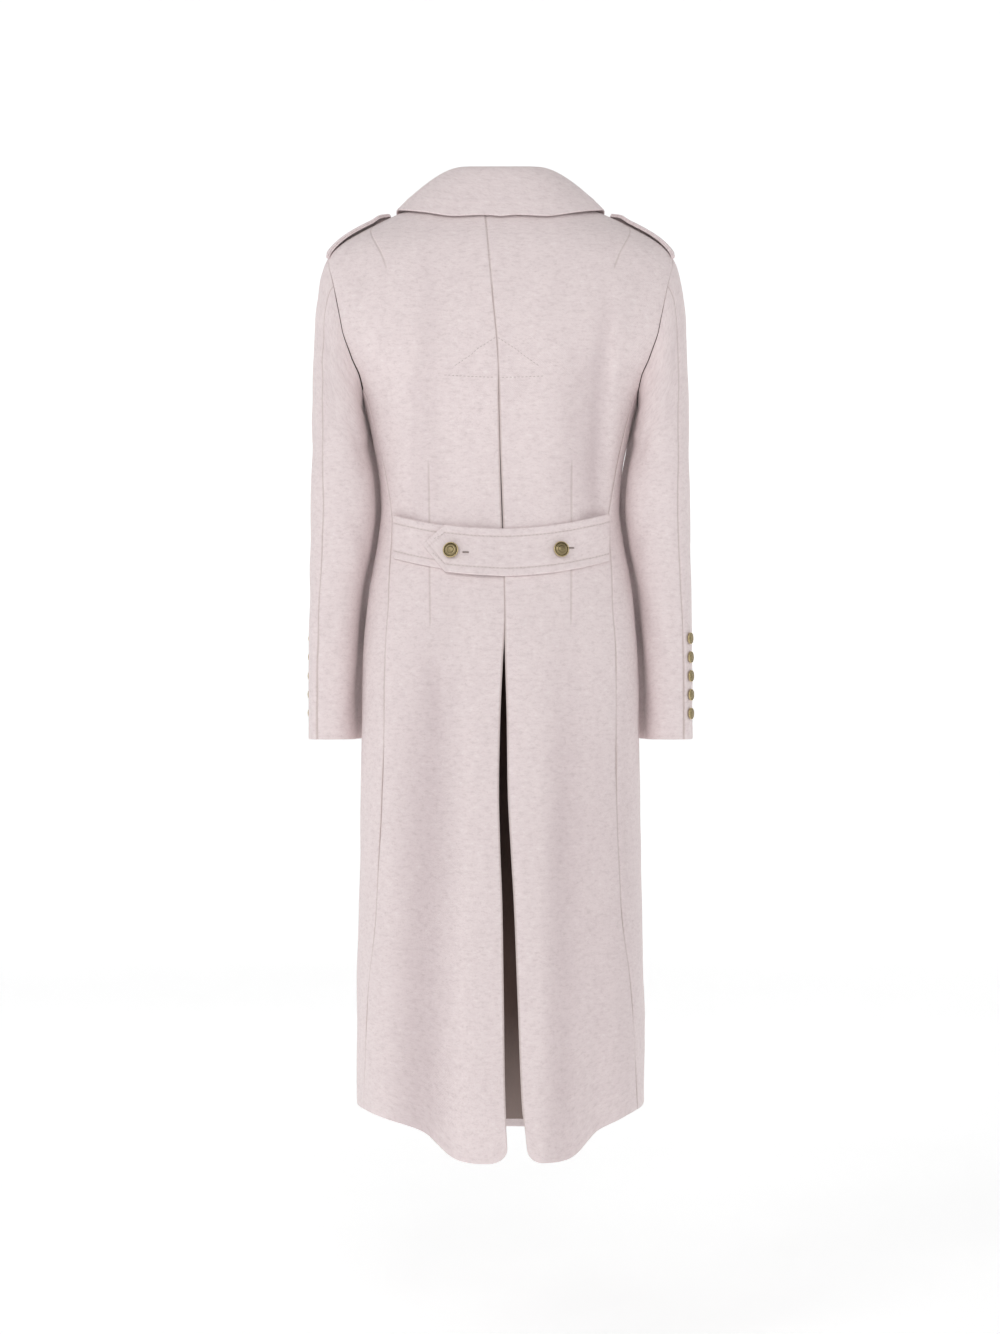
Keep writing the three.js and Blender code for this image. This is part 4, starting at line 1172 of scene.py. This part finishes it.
def on_back(x, z, lift=0.1):
    """Points on the back of the coat, a little outside its cloth, and the directions away from it."""
    x, z = pair(x, z)
    s = back_s(x, z)
    normal = body_normal(s, z)
    uneven = np.where(x > 0, *(pucker(MM_PER_S * s, z, seed_for(BACK_SEED, hand))
                               for hand, _ in HANDS))
    out = fold_lift(s, z) + body_creases(s, z) + uneven + lift
    return body_point(s, z) + normal * out[..., None], normal


def back_line(*corners):
    """A path over the back through the given places."""
    corners = np.array(corners, float)
    run = path_run(corners)
    t = np.linspace(0, run[-1], max(4, int(run[-1] / 3)))
    return on_back(np.interp(t, run, corners[:, 0]), np.interp(t, run, corners[:, 1]))


# Sewing over the inverted pleat: a line across its top, and a shallow tent above it
stitches("pleat_stitching", "back_left", [
    back_line((70, -213.3), (34, -215.6), (4.5, -216.8)),
    back_line((5.5, -167.5), (28.6, -182), (35.8, -188.7), (56.5, -202.6))], "thread")
stitches("pleat_stitching_right", "back_right", [
    back_line((-0.5, -216.8), (-22.4, -216.3), (-52.6, -214.9)),
    back_line((4.2, -167.5), (-19, -182), (-27, -188.7), (-47, -202.6))], "thread")

# Collar
collar_roll_x, collar_roll_y, collar_roll_z, collar_edge_x, collar_edge_y = curves(COLLAR_SECTIONS)
LEAF_LIFT = WALL + 1.4
LEAF_START_IN = 2.2
LEAF_START_UP = WALL + 1.6
LEAF_BEND = 8.5
LEAF_FULL_OUT = 1
LEAF_FULL_UP = 9
NECK_CORNER_C = 0.62


NECK_LIFT = 0.8
NECK_SIDE_LIFT = 1.6


def neck_point(c):
    hand, way = np.where(c < 0, -1.0, 1.0), np.abs(c)
    behind = body_point(hand * 2 * way, neck_z(2 * way) + NECK_LIFT)
    corner_s = front_s(float(ROLL_HEAD_X), float(NECK_SIDE_Z))
    turn_s = mix(1, corner_s, (way - 0.5) / (NECK_CORNER_C - 0.5))
    beside = body_point(hand * turn_s, NECK_SIDE_Z + NECK_SIDE_LIFT)
    z = mix(NECK_SIDE_Z, LAPEL_TOP_Z, np.clip((way - NECK_CORNER_C) / (1 - NECK_CORNER_C), 0, 1))
    before = body_point(hand * front_s(roll_x(z) - 1.2, z), z + NECK_LIFT)
    return np.where((way <= 0.5)[..., None], behind,
                    np.where((way <= NECK_CORNER_C)[..., None], beside, before))


def roll_point(c):
    hand, way = np.where(c < 0, -1.0, 1.0), np.abs(c)
    return stack(hand * collar_roll_x(way), collar_roll_y(way), collar_roll_z(way))


LEAF_C = np.linspace(-1, 1, 161)
LEAF_EDGE = shoulder_point(np.sign(LEAF_C) * collar_edge_x(np.abs(LEAF_C)),
                           collar_edge_y(np.abs(LEAF_C)), LEAF_LIFT + 0 * LEAF_C)[0]

def leaf_edge(c):
    return np.stack([np.interp(c, LEAF_C, LEAF_EDGE[:, k]) for k in range(3)], axis=-1)


def neck_outward(c):
    way = leaf_edge(c) - roll_point(c)
    way[..., 2] = 0
    return unit(way)


def collar_stand():
    rows = column([0, 0.02, 0.05], np.linspace(0.1, 0.9, 12), [0.95, 0.98, 1])

    def at(u):
        c = mix(-1, 1, u)
        return mix(neck_point(c), roll_point(c), rows[..., None]), neck_outward(c)
    grid_sheet("collar_stand_cloth", "collar_stand", at, rows, 4, WALL, (0.9, 0.9, 0.6, 0.9))


def leaf_point(c, v):
    edge, away = leaf_edge(c), neck_outward(c)
    start = roll_point(c) - away * LEAF_START_IN
    start[..., 2] += LEAF_START_UP
    fall = (start + edge) / 2 + away * LEAF_FULL_OUT
    fall[..., 2] += LEAF_FULL_UP
    return bezier(v[..., None], start, start + away * LEAF_BEND, fall, edge)


def leaf_frame(c, v):
    along = leaf_point(c + 0.004, v) - leaf_point(c - 0.004, v)
    down = leaf_point(c, np.minimum(1, v + 0.01)) - leaf_point(c, np.maximum(0, v - 0.01))
    return leaf_point(c, v), -unit(np.cross(along, down))


COLLAR_STITCH_FROM = 16.5
COLLAR_STITCH_PART = 0.85
LEAF_FALL = 62


def collar_leaf():
    rows = column([0, 0.01, 0.03], np.linspace(0.06, 0.8, 24),
                  [0.82, 0.835, 0.85, 0.865, 0.88, 0.91, 0.94, 0.965, 0.982, 0.993, 1])

    def at(u):
        point, normal = leaf_frame(mix(-0.998, 0.998, u), rows + 0 * u)
        dip = groove((rows - COLLAR_STITCH_PART) * LEAF_FALL, 0.45, 1.6) + 0 * u
        return point + normal * dip[..., None], normal
    _, outer, normal = grid_sheet("collar_leaf_cloth", "collar_leaf", at, rows, 3.2, WALL,
                                  (1.1, 1.1, 0.9, 1.2))
    row = len(rows) - 1 - int(np.argmin(np.abs(rows_run(outer[::-1]) - COLLAR_STITCH_FROM)))
    stitches("collar_stitching", "collar_leaf", [(outer[row, 4:-4], normal[row, 4:-4])], "thread")


collar_stand()
collar_leaf()

# Sleeves
BACK_SEAM_TURN = 0.31
FRONT_SEAM_TURN = -0.62
CUFF_VENT_Z = -527
CUFF_VENT_OPEN = 2.6
SLEEVE_TOP_Z = -296.0
CUFF_Z = -662.0
CUFF_DEPTH = 40
ARM_TURN_IN = 22.0
SLEEVE_FULL = 12.0
SLEEVE_MM_PER_TURN = 160.0
sleeve_inner, sleeve_outer, sleeve_middle, sleeve_half = curves(SLEEVE_SECTIONS)


def arm_loop(turn):
    angle = np.pi * turn
    reach = np.where(np.sin(angle) > 0, ARM_CUT_BACK, ARM_CUT_FRONT)
    return 1 - reach * np.sin(angle), ARM_MID_Z + ARM_HALF * np.cos(angle)


def sleeve_ring(turn, z):
    middle = (sleeve_inner(z) + sleeve_outer(z)) / 2
    half = (sleeve_outer(z) - sleeve_inner(z)) / 2
    behind, wide = np.sin(np.pi * turn), np.cos(np.pi * turn)
    full = SLEEVE_FULL * np.maximum(0, behind) * wide ** 2
    return stack(middle + half * wide + ARM_TURN_IN * np.minimum(0, behind),
                 sleeve_middle(z) + sleeve_half(z) * behind + full, z)


# The sleeve's cap leaves the armhole at an angle, in degrees, and for a reach that change round it
CAP_SWING = (14, 168)
CAP_REACH = (30, 14)
CAP_SAG = 0.9
CAP_HANG = 0.42
SLEEVE_MM_PER_ROW = 200


def sleeve_start(turn):
    s, z = arm_loop(turn)
    s0, z0 = arm_loop(turn - 0.01)
    s1, z1 = arm_loop(turn + 0.01)
    point, normal = body_point(s, z), body_normal(s, z)
    tangent = unit(body_point(s1, z1) - body_point(s0, z0))
    inward = unit(np.cross(tangent, normal))
    centre = body_point(1.0, ARM_MID_Z) - point
    inward = inward * np.where((inward * centre).sum(axis=-1) < 0, -1, 1)[..., None]
    round_ = np.abs(np.where(turn > 1, turn - 2, turn))
    swing = np.radians(mix(*CAP_SWING, round_ ** 1.7))
    way = inward * np.cos(swing)[..., None] + normal * np.sin(swing)[..., None]
    way[..., 2] -= CAP_SAG * np.sin(np.pi * round_) ** 2
    point = point + inward * 0.35 + normal * (0.6 * (1 - np.cos(swing)) - 0.5)[..., None]
    return point, unit(way), mix(*CAP_REACH, round_)


def sleeve_point(turn, row):
    """row runs from 0 at the armhole to 1 at the armpit's level and 2 at the cuff."""
    point, way, reach = sleeve_start(turn)
    end = sleeve_ring(turn, SLEEVE_TOP_Z + 0 * turn)
    second = end.copy()
    second[..., 2] += CAP_HANG * np.linalg.norm(point - end, axis=-1)
    cap = bezier(np.clip(row, 0, 1)[..., None], point, point + way * reach[..., None], second, end)
    low = sleeve_ring(turn, mix(SLEEVE_TOP_Z, CUFF_Z, np.clip(row - 1, 0, 1)))
    return np.where((row <= 1)[..., None], cap, low)


def sleeve_piece(hand, word, part, start_turn, stop_turn, gap_start, gap_stop):
    rows = column([0, 0.006, 0.015, 0.03], np.linspace(0.05, 0.97, 42),
                  np.linspace(1, 1.97, 74), [1.978, 1.985, 1.991, 1.9955, 1.998, 2.0])
    z_low = mix(SLEEVE_TOP_Z, CUFF_Z, np.clip(rows - 1, 0, 1))
    opening = CUFF_VENT_OPEN * (0.55 * ramp(CUFF_VENT_Z, CUFF_VENT_Z - 14, z_low)
                                + 0.45 * ramp(CUFF_VENT_Z, CUFF_Z, z_low))
    begin = start_turn + (SEAM / 2 + gap_start * opening) / SLEEVE_MM_PER_TURN
    finish = stop_turn - (SEAM / 2 + gap_stop * opening) / SLEEVE_MM_PER_TURN

    def at(u):
        turn = mix(begin, finish, u)
        row = rows + 0 * u
        point = sleeve_point(turn, row)
        along = sleeve_point(turn + 0.01, row) - sleeve_point(turn - 0.01, row)
        down = (sleeve_point(turn, np.minimum(2, row + 0.012))
                - sleeve_point(turn, np.maximum(0, row - 0.012)))
        normal = unit(np.cross(down, along))
        level = np.minimum(point[..., 2], SLEEVE_TOP_Z)
        inside = (sleeve_ring(0 * turn, level) + sleeve_ring(1 + 0 * turn, level)) / 2
        if ((point - inside) * normal).sum(axis=-1).mean() < 0:
            normal = -normal
        flip = np.array([hand, 1, 1])
        return point * flip, normal * flip

    def lift(u):
        turn = mix(begin, finish, u)
        across_mm = SLEEVE_MM_PER_TURN * np.where(turn > 1, turn - 2, turn)
        down_mm = rows * SLEEVE_MM_PER_ROW + 0 * u
        return ramp(0, 0.3, rows) * (
            crease_lift(SLEEVE_CREASES, across_mm, down_mm)
            + pucker(across_mm, 2.2 * down_mm, seed_for(SLEEVE_SEED, hand), 0.3))
    vent = np.clip(opening[:, 0], 0, 1.1)
    grid_sheet(f"sleeve_{part}_{word}_cloth", f"sleeve_{part}_{word}", at, rows, 4.2, WALL,
               (vent * (gap_start > 0), vent * (gap_stop > 0), 0, 1.0),
               seams=(True, True), lift=lift,
               lined=lambda run, down, length: down < down.max() - CUFF_DEPTH)


for hand, word in HANDS:
    sleeve_piece(hand, word, "upper", FRONT_SEAM_TURN, BACK_SEAM_TURN, 0, 0.5)
    sleeve_piece(hand, word, "under", BACK_SEAM_TURN, 2 + FRONT_SEAM_TURN, 0.5, 0)

# Epaulettes, two cloths with a notch between them at the edge
EPAULETTE_WALL = 4.4
EPAULETTE_CLEAR = 1
EPAULETTE_HALF = 21
EPAULETTE_FROM_X = 214
EPAULETTE_TO_X = 138
EPAULETTE_TAPER = 0.45
EPAULETTE_CROWN = 2.9
EPAULETTE_BUTTON_RISE = 2.2
EPAULETTE_EDGE = np.array([0, 0.4, 0.9, 1.6, 2.6, 4.2, 5.4, 6.0, 6.6, 8])


def epaulette(hand, word):
    rows = column([0, 0.01, 0.03], np.linspace(0.06, 0.94, 22), [0.965, 0.985, 1])

    def at(u):
        taper = 1 - EPAULETTE_TAPER * ramp(0.8, 1, rows)
        x = mix(EPAULETTE_FROM_X, EPAULETTE_TO_X, rows) + 0 * u
        y = mix(-1, 1, u) * EPAULETTE_HALF * taper
        crown = (EPAULETTE_CROWN * np.sin(np.pi * rows) ** 0.8
                 + EPAULETTE_BUTTON_RISE * np.exp(-((rows - 0.86) / 0.09) ** 2))
        return shoulder_point(hand * x, y, EPAULETTE_WALL + EPAULETTE_CLEAR + crown + 0 * u)
    grid_sheet(f"epaulette_{word}_cloth", f"epaulette_{word}", at, rows, 4, EPAULETTE_WALL,
               (1.0, 1.0, 1.0, 1.0),
               stitch=(6.0, 0.45), profile=PAIRED, edge=EPAULETTE_EDGE)


for hand, word in HANDS:
    epaulette(hand, word)

# Half belt
BELT_MID_Z = -431
BELT_END_RISE = 19
BELT_END_X = 131
STRAP_HALF = 28.6
BAND_HALF = 26
BELT_WALL = 3
BELT_CLEAR = 0.9
STRAP_OVER = 1.1
BAND_RISE = 1.5
STRAP_TIP_X = 92
STRAP_SQUARE_X = 67
BELT_STITCH = 8.6


def belt_z(x):
    return BELT_MID_Z + BELT_END_RISE * (x / BELT_END_X) ** 2


def strap_lift(x):
    """The strap lies on the back, and on the left over the band."""
    return mix(BELT_WALL + BELT_CLEAR, 2 * BELT_WALL + BELT_CLEAR + STRAP_OVER, ramp(-4, 20, x))


BELT_EDGE = np.array([0, 0.5, 1.1, 1.9, 3.2, 5.4, 7.3, 8.0, 8.6, 9.2, 9.9, 11.5])
STITCH_COLUMN = 8


def belt_cloth(name, node, x_rows, half_of, centre_of, lift_of):
    def at(u):
        x = x_rows + 0 * u
        z = centre_of(x) + mix(-1, 1, u) * half_of(x)
        s = back_s(x, z)
        normal = body_normal(s, z)
        return body_point(s, z) + normal * (lift_of(x) + fold_lift(s, z))[..., None], normal
    made, outer, normal = grid_sheet(
        name, node, at, x_rows, 3.5, BELT_WALL, (1.3, 1.3, 0.6, 0.9),
        stitch=(BELT_STITCH, 0.5), edge=BELT_EDGE)
    turn_uv(made)
    wide = np.linalg.norm(outer[:, 0] - outer[:, -1], axis=1) > 2.4 * BELT_STITCH
    stitches(f"{node}_stitching", node, [(outer[wide, column], normal[wide, column])
                                         for column in (STITCH_COLUMN, -1 - STITCH_COLUMN)], "thread")


def strap_half(x):
    tip = mix(1, 0.06, np.clip((x - STRAP_SQUARE_X) / (STRAP_TIP_X - STRAP_SQUARE_X), 0, 1))
    return STRAP_HALF * tip


strap_x = column([-133, -132.4, -131.5, -130], np.arange(-127, 66, 3.2), [66, 67],
                 np.linspace(68, 91, 14), [91.6, 92])
belt_cloth("belt_strap_cloth", "belt_strap", strap_x, strap_half, belt_z, strap_lift)
band_x = column([36, 36.6, 37.6], np.arange(40, 128, 3.2), [129, 130.2, 131])
belt_cloth("belt_band_cloth", "belt_band", band_x, lambda x: BAND_HALF + 0 * x,
           lambda x: belt_z(x) + BAND_RISE, lambda x: BELT_WALL + BELT_CLEAR + 0 * x)

tacks = []
for x0, x1, z in each(HOLES):
    for rise in (-0.55, 0, 0.55):
        line_x, line_z = np.linspace(x1, x0, 8), np.full(8, z + rise)
        points, normals = on_back(line_x, line_z, 0)
        lift = strap_lift(line_x) - body_creases(back_s(line_x, line_z), line_z) + 0.25
        tacks.append((points + normals * lift[:, None], normals))
stitches("belt_buttonholes", "belt_strap", tacks, "dark_thread", 8.2, 0.6, 0.5)

# Pocket flaps
FLAP_S0 = 1.16
FLAP_S1 = 1.62
FLAP_TOP_Z = -494
FLAP_HEIGHT = 56
FLAP_SLOPE = 16


def pocket_flap(hand, word):
    rows = column([0, 0.01, 0.025, 0.05], np.linspace(0.1, 0.95, 12), [1])

    def place(u):
        s = mix(FLAP_S0, FLAP_S1, u)
        z = FLAP_TOP_Z + FLAP_SLOPE * (FLAP_S0 - s) - FLAP_HEIGHT * (1 - rows)
        return hand * s, z
    body_panel(f"pocket_flap_{word}_cloth", f"pocket_flap_{word}", place, rows, (False, False), 4,
               lift=lambda s, z: WALL + 0.9 + front_lift(hand, s, z), rim=(1.2, 1.2, 1.2, 0.5),
               pucker_size=0)


for hand, word in HANDS:
    pocket_flap(hand, word)

# Buttons: a domed plate with plain rings in a raised rim, on a short shank
BUTTON_PROFILE = (
    (0, 0), (0.34, 0), (0.34, 0.3), (0.62, 0.32), (0.9, 0.34), (0.97, 0.42), (1, 0.56), (0.99, 0.68),
    (0.95, 0.77), (0.9, 0.79), (0.86, 0.74), (0.83, 0.66), (0.79, 0.66), (0.76, 0.73), (0.72, 0.78),
    (0.66, 0.8), (0.6, 0.84), (0.5, 0.89), (0.46, 0.86), (0.43, 0.86), (0.39, 0.93), (0.3, 0.96),
    (0.16, 0.99), (0, 1),
)


BUTTON_CLEAR = 0.35
# Radius, height and number of sides
BELT_BUTTON = (9.8, 7, 48)
CUFF_BUTTON = (7.4, 5, 32)
FRONT_BUTTON = (11.5, 7, 40)


def button(node, point, normal, radius, height, segments):
    rings = len(BUTTON_PROFILE) - 2
    angles = np.arange(segments) * 2 * np.pi / segments
    points = [np.stack((r * radius * np.cos(angles), r * radius * np.sin(angles),
                        np.full(segments, h * height)), axis=1) for r, h in BUTTON_PROFILE[1:-1]]
    body = np.concatenate((*points, [[0, 0, 0]], [[0, 0, height]]))
    low, high = rings * segments, rings * segments + 1
    faces = []
    for j in range(segments):
        k = (j + 1) % segments
        faces.extend([i + j, i + k, i + segments + k, i + segments + j]
                     for i in range(0, low - segments, segments))
        faces.append([low, k, j])
        faces.append([high, low - segments + j, low - segments + k])
    turn = Vector((0, 0, 1)).rotation_difference(Vector(normal)).to_matrix()
    placed = body @ np.array(turn).T + point + np.asarray(normal) * BUTTON_CLEAR
    made = mesh_object(f"{node}_gold", placed, outward(placed, faces), body[:, :2], ["gold"])
    declare(made, node)


BELT_BUTTONS = (("left", 59.0, -430.0), ("right", -73.0, -428.0))
for word, x, z in BELT_BUTTONS:
    s = back_s(x, z)
    normal = body_normal(s, z)
    at_cloth = body_point(s, z) + normal * (float(strap_lift(x)) + float(fold_lift(s, z)))
    button(f"belt_button_{word}", at_cloth, normal, *BELT_BUTTON)

CUFF_BUTTONS = 5
CUFF_BUTTON_TOP_Z = -536
CUFF_BUTTON_STEP = 23.6
CUFF_BUTTON_TURNS = (-0.07, 0.21)
for (hand, word), turn in zip(HANDS, CUFF_BUTTON_TURNS):
    for i in range(CUFF_BUTTONS):
        z = np.array(CUFF_BUTTON_TOP_Z - i * CUFF_BUTTON_STEP)
        at_cloth = sleeve_ring(np.array(turn), z)
        ahead = sleeve_ring(np.array(turn + 0.01), z) - at_cloth
        normal = unit(np.array([hand * ahead[1], -ahead[0], 0.0]))
        button(f"cuff_button_{word}_{i + 1}", at_cloth * np.array([hand, 1, 1]), normal,
               *CUFF_BUTTON)

FRONT_BUTTON_X = 54.0
FRONT_BUTTON_TOP_Z = -262
FRONT_BUTTON_STEP = 110
for column, word in HANDS:
    for i in range(3):
        z = float(FRONT_BUTTON_TOP_Z - i * FRONT_BUTTON_STEP)
        s = turned(front_s(column * FRONT_BUTTON_X, z))
        normal = body_normal(s, z)
        lift = float(front_lift(-1, s, z) + fold_lift(s, z))
        button(f"front_button_{word}_{i + 1}", body_point(s, z) + normal * lift, normal,
               *FRONT_BUTTON)


# Camera, light and floor

VIEW = (0.0006, 4.2, -0.572)
FILM = 36
PHOTO_HEIGHT = 1334 * 0.00126
camera_data = bpy.data.cameras.new("camera")
camera_data.sensor_fit = "VERTICAL"
camera_data.sensor_height = FILM
camera_data.lens = FILM * VIEW[1] / PHOTO_HEIGHT
camera_data.clip_end = 60
camera = bpy.data.objects.new("camera", camera_data)
camera.location = VIEW
camera.rotation_euler = (math.pi / 2, 0, math.pi)
bpy.context.scene.collection.objects.link(camera)
bpy.context.scene.camera = camera


LIGHTS = (
    ("light_key", (2.2, 3.6, 2.0), (0, 0, -0.3), 1.4, 1.8, 31),
    ("light_camera", (-0.1, 4.6, 1.2), (0, 0, -0.35), 1.2, 1.4, 42),
    ("light_front", (0.6, -3.5, 1.6), (0, 0, -0.5), 2.6, 2.6, 14),
)
WORLD_LIGHT = 0.36
for name, location, target, width, height, energy in LIGHTS:
    data = bpy.data.lights.new(name, "AREA")
    data.energy = energy
    data.shape = "RECTANGLE"
    data.size = width
    data.size_y = height
    light = bpy.data.objects.new(name, data)
    light.location = location
    away = Vector(location) - Vector(target)
    light.rotation_euler = away.to_track_quat("Z", "Y").to_euler()
    bpy.context.scene.collection.objects.link(light)

world = bpy.data.worlds.new("studio")
bpy.context.scene.world = world
world.use_nodes = True
background = world.node_tree.nodes["Background"]
background.inputs["Color"].default_value = (1, 1, 1, 1)
background.inputs["Strength"].default_value = WORLD_LIGHT

FLOOR_Z = -1.46
FLOOR_RADIUS = 7.5
SWEEP_RADIUS = 1.5
PAPER_TOP = 5.5
PAPER_SIDES = 72
# Painted shade on the camera's side of the paper, and a painted glow on the rest of it.
PAPER_DIM_FROM = 0.8
PAPER_DIM_TO = 8.5
PAPER_DIM = 0.62
PAPER_GLOW = 0.36


def paper_material():
    """Pale paper that glows, as painted light, away from the camera's side, and is painted darker on
    the camera's side.
    """
    n = Nodes("studio_floor")
    place = n.place("Object")
    cloud = n.noise(place, 3.0, 3.0, 0.5)
    tone = n.layers((0.93, 0.93, 0.93), ((cloud, 0.3, 0.7, 1, (0.95, 0.95, 0.95)),))
    y = n.add("ShaderNodeSeparateXYZ", {0: place}).outputs["Y"]
    far = n.levels(y, PAPER_DIM_FROM, PAPER_DIM_TO)
    # Painted shade towards the camera's side, and a painted glow that fades out there.
    return n.surface({
        "Base Color": n.blend(far, tone, (PAPER_DIM, PAPER_DIM, PAPER_DIM)),
        "Roughness": 0.9, "Specular IOR Level": 0.1, "Emission Color": (1, 1, 1, 1),
        "Emission Strength": n.levels(far, 0, 1, PAPER_GLOW, 0)})


def studio_floor():
    """A round floor of paper that sweeps up into a wall."""
    sweep = [(FLOOR_RADIUS + SWEEP_RADIUS * math.sin(a), FLOOR_Z + SWEEP_RADIUS * (1 - math.cos(a)))
             for a in np.linspace(0, math.pi / 2, 14)]
    outline = [(0.5, FLOOR_Z), (3.0, FLOOR_Z), *sweep, (FLOOR_RADIUS + SWEEP_RADIUS, PAPER_TOP)]
    angles = [2 * math.pi * k / PAPER_SIDES for k in range(PAPER_SIDES)]
    points = [(0, 0, FLOOR_Z)] + [(r * math.cos(a), r * math.sin(a), z)
                                  for r, z in outline for a in angles]
    faces = [(0, 1 + k, 1 + (k + 1) % PAPER_SIDES) for k in range(PAPER_SIDES)]
    for i in range(1, 1 + (len(outline) - 1) * PAPER_SIDES, PAPER_SIDES):
        for k in range(PAPER_SIDES):
            after = (k + 1) % PAPER_SIDES
            faces.append((i + k, i + PAPER_SIDES + k, i + PAPER_SIDES + after, i + after))
    mesh = bpy.data.meshes.new("floor")
    mesh.from_pydata(points, [], faces)
    mesh.polygons.foreach_set("use_smooth", [True] * len(faces))
    mesh.materials.append(paper_material())
    floor = bpy.data.objects.new("floor", mesh)
    bpy.context.scene.collection.objects.link(floor)
    return floor


studio_floor()

bpy.context.scene.view_settings.view_transform = "Standard"
bpy.context.scene.view_settings.look = "None"
